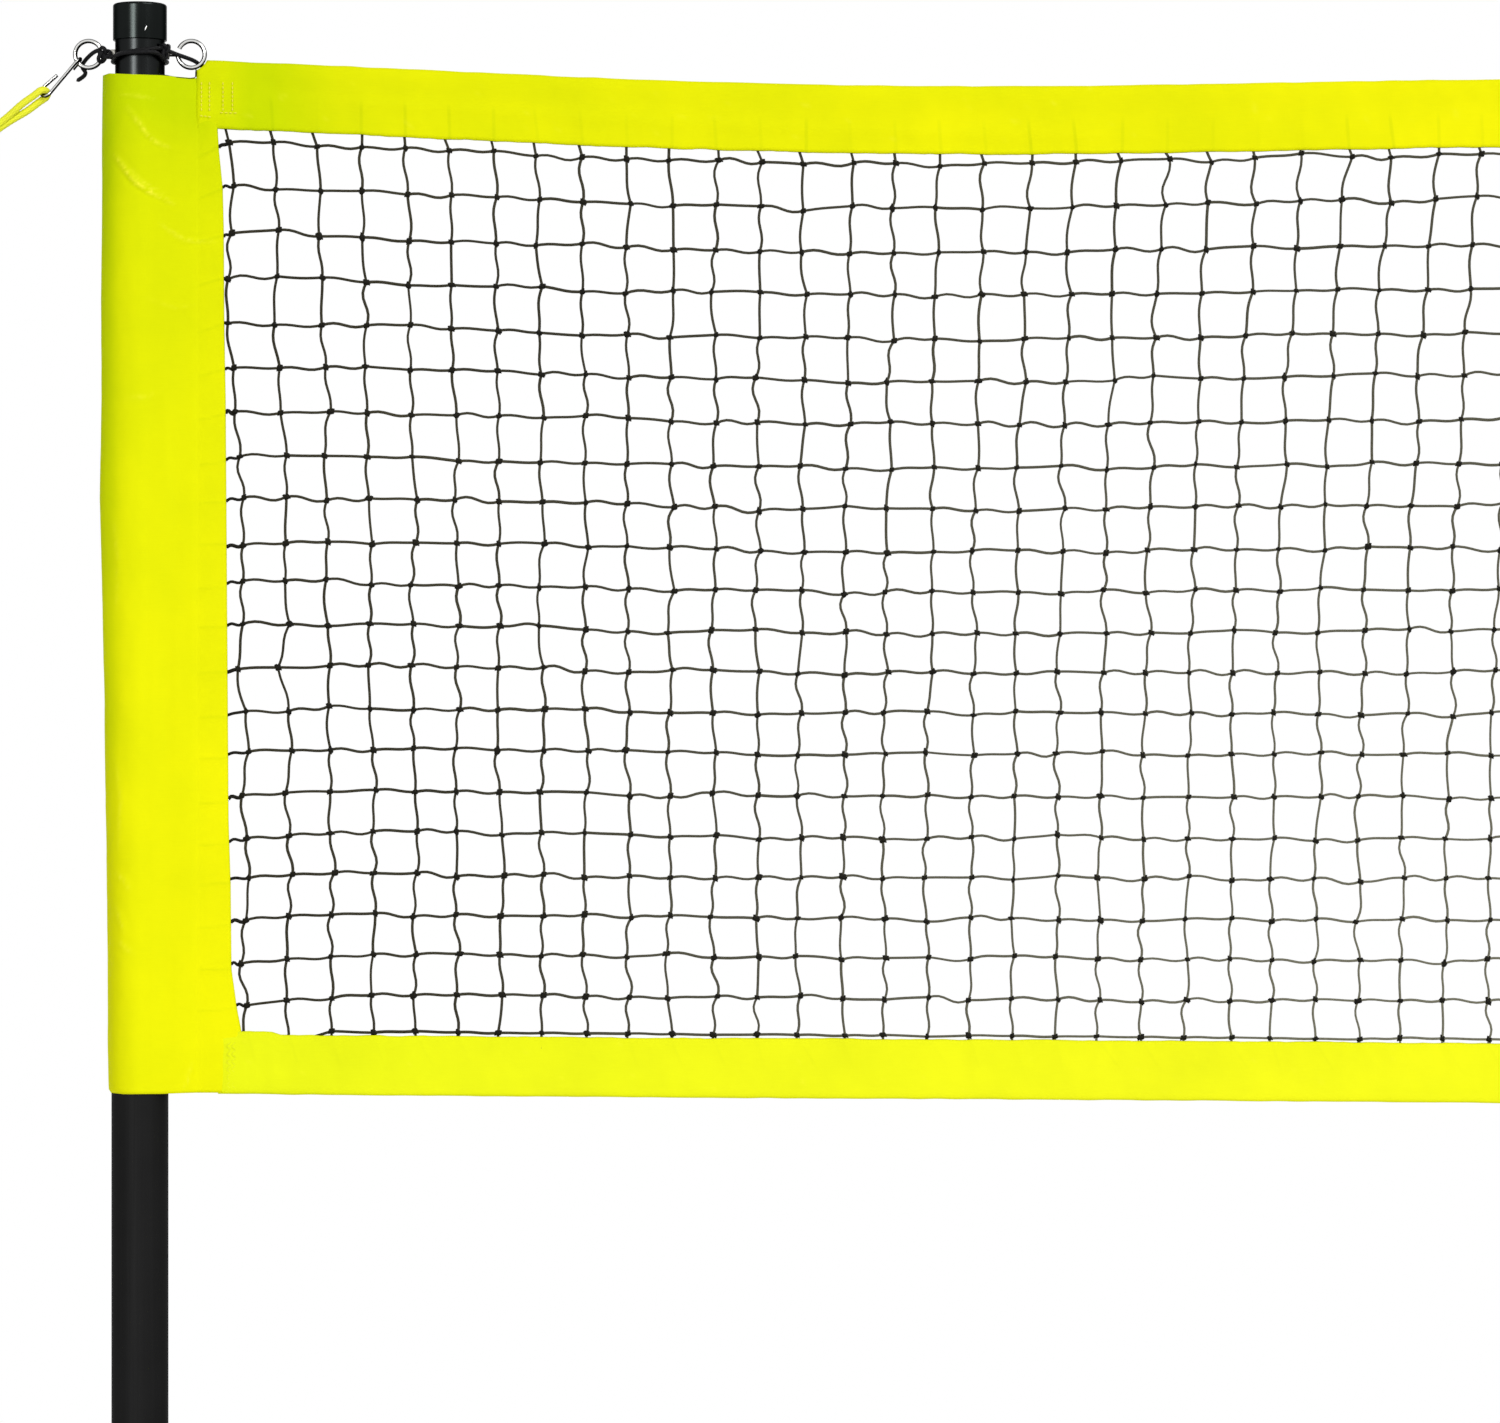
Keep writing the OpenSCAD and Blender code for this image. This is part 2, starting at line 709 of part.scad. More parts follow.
// The upper tape is folded over the headline, open below for the meshes
module top_band() {
    xs = stations(notch_x, pole_spacing - notch_x);
    upper = [for (x = xs) [x, top_at(x)]];
    fold = [for (x = xs) [x, top_at(x) - cloth_t]];
    lower = concat(
        [[band_x, notch_z], [band_x, top_at(band_x) - top_band_h]],
        [for (x = xs) [x, top_at(x) - top_band_h]],
        [[pole_spacing - band_x, top_at(band_x) - top_band_h]],
        [[pole_spacing - band_x, notch_z]]
    );
    notched = concat([[notch_x, notch_z]], upper, [[pole_spacing - notch_x, notch_z]]);
    color("#dcec14") {
        upright_strip(lower, notched, -band_out, -band_in);
        upright_strip(lower, notched, band_in, band_out);
        upright_strip(fold, upper, -band_in, band_in);
    }
}

// The lower tape is folded up from below
module bottom_band() {
    xs = stations(band_x, pole_spacing - band_x);
    lower = [for (x = xs) [x, bottom_at(x)]];
    fold = [for (x = xs) [x, bottom_at(x) + cloth_t]];
    upper = [for (x = xs) [x, bottom_at(x) + bottom_band_h]];
    color("#dcec14") {
        upright_strip(lower, upper, -band_out, -band_in);
        upright_strip(lower, upper, band_in, band_out);
        upright_strip(lower, fold, -band_in, band_in);
    }
}

module headline_cord() {
    xs = stations(headline_x + 0.1, pole_spacing - headline_x - 0.1);
    route = [for (x = xs) [x, 0, headline_z - net_top + top_at(x)]];
    color("#101010")
        cord(route, [for (x = xs) headline_d], [0, 0, 1]);
}

// The right end mirrors the left one across the middle of the net
module right_end()
    translate([pole_spacing, 0, 0])
        mirror([1, 0, 0])
            children();

top_section();  // left_top_section
mid_section();  // left_mid_section
base_section();  // left_base_section
base_flange();  // left_base_flange
foot_plug();  // left_foot_plug
top_cap();  // left_top_cap
outer_eye_bolt();  // left_outer_eye_bolt
inner_eye_bolt();  // left_inner_eye_bolt
eye_nuts();  // left_eye_nuts
upper_button();  // left_upper_button
upper_spring();  // left_upper_spring
lower_button();  // left_lower_button
lower_spring();  // left_lower_spring
s_hook();  // left_s_hook
guy_rope();  // left_guy_rope
front_stake();  // left_front_stake
back_stake();  // left_back_stake
sleeve();  // left_sleeve
tie_cord();  // left_tie_cord
right_end() top_section();  // right_top_section
right_end() mid_section();  // right_mid_section
right_end() base_section();  // right_base_section
right_end() base_flange();  // right_base_flange
right_end() foot_plug();  // right_foot_plug
right_end() top_cap();  // right_top_cap
right_end() outer_eye_bolt();  // right_outer_eye_bolt
right_end() inner_eye_bolt();  // right_inner_eye_bolt
right_end() eye_nuts();  // right_eye_nuts
right_end() upper_button();  // right_upper_button
right_end() upper_spring();  // right_upper_spring
right_end() lower_button();  // right_lower_button
right_end() lower_spring();  // right_lower_spring
right_end() s_hook();  // right_s_hook
right_end() guy_rope();  // right_guy_rope
right_end() front_stake();  // right_front_stake
right_end() back_stake();  // right_back_stake
right_end() sleeve();  // right_sleeve
right_end() tie_cord();  // right_tie_cord
net_uprights();
net_rows();
top_band();
bottom_band();
headline_cord();
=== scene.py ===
import math

import bpy
import numpy as np
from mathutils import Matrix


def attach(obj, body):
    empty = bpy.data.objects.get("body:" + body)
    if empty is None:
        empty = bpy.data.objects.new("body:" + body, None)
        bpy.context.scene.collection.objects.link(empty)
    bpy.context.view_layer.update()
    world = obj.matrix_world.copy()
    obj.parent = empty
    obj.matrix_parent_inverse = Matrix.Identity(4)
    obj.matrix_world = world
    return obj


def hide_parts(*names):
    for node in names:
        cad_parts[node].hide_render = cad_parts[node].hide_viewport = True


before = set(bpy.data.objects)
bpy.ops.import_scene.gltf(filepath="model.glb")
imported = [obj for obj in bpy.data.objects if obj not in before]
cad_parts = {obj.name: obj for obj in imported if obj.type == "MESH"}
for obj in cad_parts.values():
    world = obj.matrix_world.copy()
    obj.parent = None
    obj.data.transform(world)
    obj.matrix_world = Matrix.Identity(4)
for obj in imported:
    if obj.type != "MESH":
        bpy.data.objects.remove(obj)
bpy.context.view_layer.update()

# ---- sizes, in metres ----

# from one pole's axis to the other's
SPAN = 9.7
# the net's outer edges at the poles, their sag at mid span, and the tapes' heights
NET_TOP, NET_BOTTOM = 2.4705, 1.5445
TOP_SAG, BOTTOM_SAG = 0.040, 0.028
TOP_H, BOTTOM_H = 0.061, 0.0535
# the eyes' centres, up from the ground and out from the pole's axis
EYE_Z, EYE_X = 2.475, 0.046
# the uprights: how far apart, where the first one is, and how many
PITCH, FIRST, COLUMNS = 0.0387772, 0.0804, 247
ROWS = 22
ROPE_D, CORD_D, TWINE_D = 0.0064, 0.004, 0.0023
CLOTH_T = 0.0008
# the photograph's scale, its column on the pole's axis, and a row of known height
PIXEL = 0.000896
AXIS_COLUMN, KNOWN_ROW, KNOWN_HEIGHT = 140, 60, 2.470

SIDES = ("left", "right")
LAYERS = ("cloth", "net", "mark")


def px(column):
    """Place along the net of a column of the photograph."""
    return (np.asarray(column, float) - AXIS_COLUMN) * PIXEL


def pz(row):
    """Height of a row of the photograph."""
    return KNOWN_HEIGHT - (np.asarray(row, float) - KNOWN_ROW) * PIXEL


def smooth(t):
    t = np.clip(t, 0, 1)
    return t * t * (3 - 2 * t)


def ramp(x, start, width):
    """Goes smoothly from 0 at start to 1 at start + width."""
    return smooth((x - start) / width)


def hill(x, width):
    """1 where x is 0, and less on both sides."""
    return np.exp(-(x / width) ** 2)


def wobble(x, pitch, seed):
    """Smooth noise along a line, from -1 to 1, with a new value every pitch."""
    r = np.random.default_rng(seed).uniform(-1, 1, 4096)
    t = np.asarray(x, float) / pitch + 2000
    i = np.floor(t).astype(int)
    f = smooth(t - i)
    return r[i % 4096] * (1 - f) + r[(i + 1) % 4096] * f


def wobble2(x, z, pitch_x, pitch_z, seed):
    """Smooth noise over a surface, from -1 to 1."""
    r = np.random.default_rng(seed).uniform(-1, 1, (512, 512))
    s, t = np.asarray(x, float) / pitch_x + 200, np.asarray(z, float) / pitch_z + 200
    i, j = np.floor(s).astype(int), np.floor(t).astype(int)
    f, g = smooth(s - i), smooth(t - j)
    low, high = (r[i % 512, k % 512] * (1 - f) + r[(i + 1) % 512, k % 512] * f for k in (j, j + 1))
    return low * (1 - g) + high * g


def from_pole(x):
    """Distance along the net from the nearer pole."""
    return np.minimum(x, SPAN - x)


def sag(x):
    """0 at both poles and 1 at mid span."""
    return 1 - (2 * x / SPAN - 1) ** 2


def end_dip(x):
    """How far the loosely tied upper tape dips between its end and about 1.2 m."""
    return 0.0131 * np.sin(np.pi * np.clip((x - 0.05) / 1.19, 0, 1)) ** 1.4


def top_line(x):
    """Height of the net's upper edge."""
    x = np.asarray(x, float)
    mid = ramp(x, 1.3, 0.5) * ramp(x, SPAN - 1.3, -0.5)
    return (NET_TOP - TOP_SAG * sag(x) - end_dip(x) - end_dip(SPAN - x)
            - mid * (0.003 + 0.003 * wobble(x, 0.7, 3)))


def bottom_line(x):
    """Height of the net's lower edge."""
    x = np.asarray(x, float)
    near = from_pole(x)
    lift = 0.0033 * ramp(near, 0, 1.2) * (1 - ramp(near, 1.4, 1.6))
    return NET_BOTTOM - BOTTOM_SAG * sag(x) + lift + 0.0012 * wobble(x, 0.5, 5) * ramp(near, 1, 1)


# ---- mesh helpers ----


def flipped(points):
    """The same places at the net's other end."""
    return points * [-1, 1, 1] + [SPAN, 0, 0]


def turned(points, angle):
    """Points turned about the y axis."""
    c, s = math.cos(angle), math.sin(angle)
    return points @ np.array([[c, 0, -s], [0, 1, 0], [s, 0, c]])


def unit(v):
    return np.asarray(v, float) / np.linalg.norm(v)


def numbers(grid):
    """The vertex numbers of a grid of points."""
    return np.arange(grid[..., 0].size).reshape(grid.shape[:-1])


def quads(index):
    """The quads of a grid of vertex numbers, or of many such grids."""
    return np.stack([index[..., :-1, :-1], index[..., :-1, 1:],
                     index[..., 1:, 1:], index[..., 1:, :-1]], -1).reshape(-1, 4)


def corner_map(uv):
    """What each corner of a grid's quads gets, from what each point has."""
    return uv.reshape(-1, uv.shape[-1])[quads(numbers(uv))]


def joined(parts):
    """Joins (vertices, faces, corner maps) parts into one."""
    verts, faces, maps, n = [], {}, {}, 0
    for v, fs, m in parts:
        for f, uv in zip(fs, m):
            faces.setdefault(f.shape[1], []).append(f + n)
            maps.setdefault(f.shape[1], []).append(uv)
        verts.append(v)
        n += len(v)
    sizes = sorted(faces)
    return (np.concatenate(verts), [np.concatenate(faces[k]) for k in sizes],
            [np.concatenate(maps[k]) for k in sizes])


def mesh(name, parts, material):
    """An object from parts, as (vertices, faces, corner maps). The maps have two values for
    each layer. What is named for the right end is the mirror image of its parts."""
    verts, faces, maps = joined(parts)
    if name.startswith("right"):
        verts = flipped(verts)
        faces, maps = [f[:, ::-1] for f in faces], [m[:, ::-1] for m in maps]
    me = bpy.data.meshes.new(name)
    loops = np.concatenate([f.ravel() for f in faces])
    sizes = np.concatenate([np.full(len(f), f.shape[1]) for f in faces])
    me.vertices.add(len(verts))
    me.vertices.foreach_set("co", verts.astype(np.float32).ravel())
    me.loops.add(len(loops))
    me.loops.foreach_set("vertex_index", loops.astype(np.int32))
    me.polygons.add(len(sizes))
    me.polygons.foreach_set("loop_start", (np.cumsum(sizes) - sizes).astype(np.int32))
    me.polygons.foreach_set("use_smooth", np.ones(len(sizes), bool))
    flat = np.concatenate([m.reshape(-1, m.shape[-1]) for m in maps])
    for i, layer in zip(range(0, flat.shape[1], 2), LAYERS):
        uv = me.uv_layers.new(name=layer, do_init=False)
        uv.uv.foreach_set("vector", flat[:, i:i + 2].astype(np.float32).ravel())
    me.update(calc_edges=True)
    me.materials.append(material)
    obj = bpy.data.objects.new(name, me)
    bpy.context.scene.collection.objects.link(obj)
    return obj


def piece(name, parts, material, slot, *stands_for):
    """A piece of the standing net, in place of the CAD nodes that it stands for."""
    obj = mesh(name, parts, material)
    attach(obj, "root")
    if stands_for:
        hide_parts(*stands_for)
    return obj


def curve_points(points, per=8):
    """A smooth line through points (Catmull-Rom)."""
    p = np.asarray(points, float)
    p = np.concatenate([[2 * p[0] - p[1]], p, [2 * p[-1] - p[-2]]])
    out = []
    for a, b, c, d in zip(p, p[1:], p[2:], p[3:]):
        t = np.linspace(0, 1, per, endpoint=False)[:, None]
        out.append(0.5 * (2 * b + (c - a) * t + (2 * a - 5 * b + 4 * c - d) * t ** 2
                          + (3 * b - a - 3 * c + d) * t ** 3))
    return np.concatenate(out + [p[-2:-1]])


def steps_of(line):
    """The lengths between neighbouring points."""
    return np.linalg.norm(np.diff(line, axis=0), axis=1)


def along(steps):
    """How far each point is from the first one, along a line with these steps."""
    return np.concatenate([[0], np.cumsum(steps)])


def resampled(line, step):
    """The same line with even steps."""
    line = np.asarray(line, float)
    at = along(steps_of(line))
    s = np.linspace(0, at[-1], max(2, int(round(at[-1] / step)) + 1))
    return np.stack([np.interp(s, at, line[:, i]) for i in range(3)], 1)


def skin(line, r, side, up, at, closed=False):
    """Quads round one line or many, from the points, the radii, two directions across and
    the lengths along. The corner map is (share round it, length along it)."""
    sides = r.shape[-1]
    a = np.linspace(0, 2 * np.pi, sides, endpoint=False)[:, None]
    outwards = np.cos(a) * side[..., None, :] + np.sin(a) * up[..., None, :]
    ring = line[..., None, :] + r[..., None] * outwards
    index = numbers(ring)
    index = np.concatenate([index, index[..., :1]], -1)
    if closed:
        index = np.concatenate([index, index[:1]])
    uv = np.stack(np.broadcast_arrays(np.arange(sides + 1) / sides, at[..., None]), -1)
    return ring.reshape(-1, 3), [quads(index)], [corner_map(uv)]


def tube(line, radius, sides=12, shape=None, closed=False, rounded=0):
    """A tube along a line. shape(angle, length) gives the radius's factor, and rounded says
    how many rings draw in at each end."""
    line = np.asarray(line, float)
    n = len(line)
    at = along(steps_of(line))
    tangent = np.roll(line, -1, 0) - np.roll(line, 1, 0) if closed else np.gradient(line, axis=0)
    tangent /= np.linalg.norm(tangent, axis=1)[:, None]
    side = np.zeros((n, 3))
    side[0] = unit(np.cross(tangent[0], [0, 0, 1] if abs(tangent[0][2]) < 0.9 else [1, 0, 0]))
    for i in range(1, n):
        side[i] = unit(side[i - 1] - side[i - 1] @ tangent[i] * tangent[i])
    r = np.broadcast_to(np.asarray(radius, float), (n,))[:, None] * np.ones((n, sides))
    if shape is not None:
        r = r * shape(np.linspace(0, 2 * np.pi, sides, endpoint=False), at[:, None])
    for i in range(rounded):
        r[[i, -1 - i]] *= math.sin(math.pi / 2 * (i + 0.3) / rounded)
    if closed:
        at = np.append(at, at[-1] + steps_of(line).mean())
    verts, faces, maps = skin(line, r, side, np.cross(tangent, side), at, closed)
    if not closed:
        faces.append(np.stack([np.arange(sides)[::-1], (n - 1) * sides + np.arange(sides)]))
        maps.append(np.zeros((2, sides, 2)))
    return verts, faces, maps


def shell(outer, inner, uv):
    """A closed sheet of cloth from its outer and inner grids of points (rows, columns)."""
    index = numbers(outer)
    n = index.size
    front = quads(index)
    edge = np.concatenate([index[0], index[1:, -1], index[-1, -2::-1], index[-2:0:-1, 0]])
    after = np.roll(edge, -1)
    faces = [front, front[:, ::-1] + n, np.stack([after, edge, edge + n, after + n], -1)]
    flat = np.concatenate([uv.reshape(n, -1)] * 2)
    return np.concatenate([outer.reshape(-1, 3), inner.reshape(-1, 3)]), faces, [flat[f] for f in faces]


def cloth(name, look, node, points, inwards, maps, order=np.s_[:]):
    """A sheet of cloth in place of a node. order turns its faces outwards."""
    outer = np.stack(points, -1)
    inner = outer + CLOTH_T * np.stack(inwards, -1)
    uv = np.stack(np.broadcast_arrays(*maps), -1)
    return piece(name, [shell(outer[order], inner[order], uv[order])], CLOTHS[look], "tape", node)


def normals(x, y):
    """Unit normals of the lines that run along axis 1 of two grids."""
    dx, dy = np.gradient(x, axis=1), np.gradient(y, axis=1)
    length = np.hypot(dx, dy)
    return dy / length, -dx / length


# ---- material helpers ----


class Value:
    """A node's output. Sums, differences, products and quotients make Math nodes."""

    def __init__(self, owner, socket):
        self.owner, self.socket = owner, socket

    def __add__(self, other):
        return self.owner.math("ADD", self, other)

    def __sub__(self, other):
        return self.owner.math("SUBTRACT", self, other)

    def __mul__(self, other):
        return self.owner.math("MULTIPLY", self, other)

    def __truediv__(self, other):
        return self.owner.math("DIVIDE", self, other)


class Nodes:
    """A node tree with short calls for the shader nodes that this scene uses."""

    def __init__(self, tree):
        self.tree = tree

    def put(self, node, key, value):
        """Links a node's input or sets its value."""
        if isinstance(value, Value):
            self.tree.links.new(value.socket, node.inputs[key])
        elif value is not None:
            node.inputs[key].default_value = value

    def add(self, kind, *values, inputs=None, **props):
        node = self.tree.nodes.new("ShaderNode" + kind)
        for key, value in props.items():
            setattr(node, key, value)
        for key, value in [*enumerate(values), *(inputs or {}).items()]:
            self.put(node, key, value)
        return node

    def value(self, kind, *values, output=0, **more):
        return Value(self, self.add(kind, *values, **more).outputs[output])

    def outputs(self, kind, *values):
        return [Value(self, socket) for socket in self.add(kind, *values).outputs]

    def place(self):
        return self.value("TexCoord", output="Object")

    def uv(self, name):
        return self.value("UVMap", uv_map=name)

    def scaled(self, vector, scale, turn=(0, 0, 0)):
        return self.value("Mapping", vector, None, turn, scale)

    def noise(self, vector, scale, detail=3.0, rough=0.55):
        return self.value("TexNoise", vector, None, scale, detail, rough)

    def math(self, op, a, b=0.0, clamp=False):
        return self.value("Math", a, b, operation=op, use_clamp=clamp)

    def split(self, vector):
        return self.outputs("SeparateXYZ", vector)

    def fit(self, value, low, high, to_low=0.0, to_high=1.0):
        return self.value("MapRange", value, low, high, to_low, to_high)

    def mix(self, share, a, b):
        a, b = (c if isinstance(c, Value) else (*c, 1) for c in (a, b))
        return self.value("Mix", share, inputs={6: a, 7: b}, output=2, data_type="RGBA")

    def bump(self, height, distance, strength=1.0, normal=None):
        inputs = {"Strength": strength, "Distance": distance, "Height": height, "Normal": normal}
        return self.value("Bump", inputs=inputs)


class Mat(Nodes):
    """A node material."""

    def __init__(self, name, **sockets):
        self.material = bpy.data.materials.new(name)
        self.material.use_nodes = True
        super().__init__(self.material.node_tree)
        self.set(**sockets)

    def set(self, **sockets):
        for key, value in sockets.items():
            self.put(self.tree.nodes["Principled BSDF"], key.replace("_", " "), value)
        return self.material


# ---- materials ----

WARP, WEFT = 0.00062, 0.00055
# the pale yellow of the crease lines, a painted highlight with some wear, and of the tapes' pale flecks
HIGHLIGHT_AND_WEAR_YELLOW = (0.98, 0.95, 0.045)


def cloth_material(name, colour, deep, shown_lines):
    """Fluorescent woven cloth. The net map holds where strands lie beneath it, and on the
    sleeve's far left a painted shade. The mark map holds pale lines along the creases, a painted
    highlight with some wear, and pale flecks, and how far the colour goes from green to yellow,
    which is mostly painted light and shade with a little random tone."""
    m = Mat(name, Specular_IOR_Level=0.01)
    uv, net = m.uv("cloth"), m.uv("net")
    pale, tone_and_painted_light, _ = m.split(m.uv("mark"))
    u, v, _ = m.split(uv)
    warp = m.math("SINE", u * (2 * math.pi / WARP))
    weft = m.math("SINE", v * (2 * math.pi / WEFT))
    weave = warp * weft
    blotch = m.noise(uv, 9.0, 4.0)
    slub = m.noise(m.scaled(uv, (60, 1400, 1)), 1.0, 2.0)
    column, shown, _ = m.split(net)
    line = m.math("ABSOLUTE", m.math("FRACT", column + 0.5) - 0.5)
    # strands beneath the cloth, and painted shade on the sleeve's far left
    strands_and_shade = m.fit(line, 0.018, 0.055, shown_lines, 0.0) * shown
    shade = m.fit(blotch, 0.35, 0.7, 0.0, 0.55) + m.fit(weave, -1, 1, 0.0, 0.12)
    shade = shade + m.fit(slub, 0.3, 0.75, -0.06, 0.1)
    shade = m.math("ADD", shade, strands_and_shade, clamp=True)
    height = weave * 0.5 + slub * 0.9
    normal = m.bump(m.noise(uv, 70.0, 3.0), 0.0006, 0.25)
    normal = m.bump(height, 0.00012, 0.55, normal)
    rough = m.fit(m.noise(uv, 160.0), 0.3, 0.7, 0.42, 0.6)
    # green to yellow by a share that is mostly painted light and shade
    dye_and_light = m.mix(tone_and_painted_light, *colour)
    # pale lines: painted highlight with some wear along the creases, and pale flecks
    worn = m.math("MULTIPLY", pale, m.fit(m.noise(uv, 300.0, 3.0), 0.35, 0.65, 0.35, 1.0), clamp=True)
    deep_dye_and_light = m.value("MixRGB", 1.0, dye_and_light, (*deep, 1), blend_type="MULTIPLY")
    paint = m.mix(worn, m.mix(shade, dye_and_light, deep_dye_and_light), HIGHLIGHT_AND_WEAR_YELLOW)
    return m.set(Base_Color=paint, Roughness=rough, Normal=normal)


def rope_material(name, colour, deep, strands, pitch, rough, depth):
    """A braided rope or a twisted cord: strands run round it both ways, with painted shade
    between them.
    """
    m = Mat(name, Specular_IOR_Level=0.1, Roughness=rough)
    u, v, _ = m.split(m.uv("cloth"))
    turn = u * strands
    run = v / pitch
    right = m.math("PINGPONG", turn + run, 0.5)
    left = m.math("PINGPONG", turn - run, 0.5)
    braided = m.math("MAXIMUM", right, left) * 2.0
    fibre = m.noise(m.value("CombineXYZ", (turn + run) * 7.0, v * 300.0), 1.0, 3.0)
    dirt = m.noise(m.place(), 40.0, 4.0)
    # painted shade between the strands, and dirt in patches
    shade = m.fit(braided, 0.35, 1.0, 0.75, 0.0) + m.fit(fibre, 0.3, 0.7, -0.1, 0.15)
    shade = m.math("ADD", shade, m.fit(dirt, 0.45, 0.75, 0.0, 0.2), clamp=True)
    height = braided + fibre * 0.3
    return m.set(Base_Color=m.mix(shade, colour, deep), Normal=m.bump(height, depth, 0.9))


def twine_material():
    """The net's twisted twine. It is lighter away from the poles, most of all low down, which is
    painted light, and is darker in the knots, where the map's first value is 10 more."""
    m = Mat("twine", Specular_IOR_Level=0.12, Roughness=0.62)
    u, v, _ = m.split(m.uv("cloth"))
    turn = u * 3.0 + v / 0.0062
    ply = m.math("PINGPONG", turn, 0.5) * 2.0
    fibre = m.noise(m.value("CombineXYZ", turn * 9.0, v * 500.0), 1.0, 3.0)
    tone = m.noise(m.place(), 6.0, 3.0)
    light = m.fit(ply, 0.25, 1.0, 0.0, 0.5) + m.fit(fibre, 0.3, 0.75, -0.1, 0.25)
    light = m.math("ADD", light, m.fit(tone, 0.35, 0.7, 0.0, 0.35), clamp=True)
    knotted = m.math("GREATER_THAN", u, 5.0)
    height = ply + fibre * 0.35
    strand = m.mix(light, (0.012, 0.010, 0.005), (0.072, 0.066, 0.037))
    x, _, z = m.split(m.place())
    # painted light: lighter strands away from the poles, most of all low down
    inward = m.fit(m.math("ABSOLUTE", x - SPAN / 2), 4.6, 3.8)
    strand = m.mix(inward * m.fit(z, 2.3, 1.65, 0.25, 0.95), strand, (0.175, 0.170, 0.120))
    knot = m.mix(light, (0.002, 0.0018, 0.001), (0.014, 0.012, 0.006))
    return m.set(Base_Color=m.mix(knotted, strand, knot), Normal=m.bump(height, 0.0004, 0.8))


def painted_material(name, colour, worn, rough, streak, edge):
    """A dark satin finish on a turned part, with streaks along the axis and fine scratches."""
    m = Mat(name, Metallic=1.0, Specular_Tint=(edge, edge, edge, 1))
    p = m.place()
    drawn = m.noise(m.scaled(p, (90, 90, 1.2)), 1.0, 4.0)
    fine = m.noise(m.scaled(p, (700, 700, 6)), 1.0, 3.0)
    cloud = m.noise(p, 14.0, 5.0)
    scratch = m.noise(m.scaled(p, (260, 260, 2500), (0.5, 0.2, 0)), 1.0, 2.0)
    shade = m.fit(drawn, 0.35, 0.75, 0.0, streak) + m.fit(cloud, 0.4, 0.75, 0.0, streak)
    shade = m.math("ADD", shade, m.fit(scratch, 0.7, 0.78, 0.0, 0.25), clamp=True)
    rougher = m.fit(fine * 0.5 + cloud * 0.5, 0.3, 0.7, rough - 0.06, rough + 0.08)
    normal = m.bump(m.noise(p, 900.0, 2.0), 0.00003, 0.4, m.bump(fine, 0.00004, 0.3))
    return m.set(Base_Color=m.mix(shade, colour, worn), Roughness=rougher, Normal=normal)


def metal_material(name, colour, dull, rough, grain=1.0, edge=0.5, dark_reflection=None, lower=0.65):
    """Plated or drawn steel: drawn lines, a cloudy plating and small dull spots. The colour given
    for the sides is a painted dark reflection: it goes on the sides that don't face straight
    forwards or backwards, most of all where they face down and towards the pole."""
    m = Mat(name, Metallic=1.0, Specular_Tint=(edge, edge, edge, 1))
    p = m.place()
    cloud = m.noise(p, 55.0, 4.0)
    spots = m.noise(p, 420.0, 3.0, 0.65)
    drawn = m.noise(m.scaled(p, (1600, 1600, 120)), 1.0, 2.0)
    clouds, dots = m.fit(cloud, 0.4, 0.72, 0.0, 0.5), m.fit(spots, 0.55, 0.75, 0.0, 0.4 * grain)
    shade = m.math("ADD", clouds, dots, clamp=True)
    rougher = m.fit(cloud * 0.5 + spots * 0.5, 0.35, 0.65, rough - 0.05, rough + 0.15 * grain)
    normal = m.bump(spots, 0.0001, 0.3 * grain, m.bump(drawn, 0.00005, 0.3))
    paint = m.mix(shade, colour, dull)
    # painted dark reflection, most of all on sides that face down and towards the pole
    if dark_reflection:
        nx, ny, nz = m.split(m.value("TexCoord", output="Normal"))
        x = m.split(p)[0]
        x = x - m.math("GREATER_THAN", x, SPAN / 2) * SPAN
        inwards = nx * m.math("SIGN", x)
        below = m.math("MAXIMUM", (inwards + nz) * -lower, 0.0)
        facing = m.math("ABSOLUTE", ny) - below
        facing = facing + m.fit(cloud, 0.3, 0.7, -0.05, 0.05)
        paint = m.mix(m.fit(facing, 0.62, 0.92), dark_reflection, paint)
    return m.set(Base_Color=paint, Roughness=rougher, Normal=normal)


def materials(make, looks):
    return {name: make(name, *look) for name, look in looks.items()}


LIME = ((0.60, 0.74, 0.0012), (0.93, 0.90, 0.003))
LOW_LIME = ((0.66, 0.84, 0.004), (0.93, 0.95, 0.012))
ZINC = ((0.70, 0.70, 0.68), (0.40, 0.40, 0.385), 0.16, 0.5, 0.03)

# green and yellow dye, mixed mostly by painted light and shade, its tint in the shade, how far strands show
# through
CLOTHS = materials(cloth_material, {
    "lime cloth": (LIME, (0.84, 0.89, 1), 0.7),
    "lime tape": (LIME, (0.80, 0.86, 1), 0.9),
    "lower lime tape": (LOW_LIME, (0.86, 0.88, 1), 0.9),
})
# colour, colour between the strands (painted shade), strands, pitch, roughness, depth
ROPES = materials(rope_material, {
    "lime rope": ((0.98, 0.97, 0.055), (0.74, 0.78, 0.025), 8, 0.0075, 0.6, 0.0004),
    "black cord": ((0.012, 0.012, 0.013), (0.002, 0.002, 0.003), 6, 0.005, 0.5, 0.0003),
    "pale thread": ((0.97, 0.88, 0.11), (0.93, 0.78, 0.06), 3, 0.0012, 0.5, 0.0001),
    "lime thread": ((0.93, 0.94, 0.03), (0.80, 0.86, 0.02), 3, 0.0012, 0.5, 0.0001),
})
BLACK_CORD = ROPES["black cord"]
TWINE = twine_material()
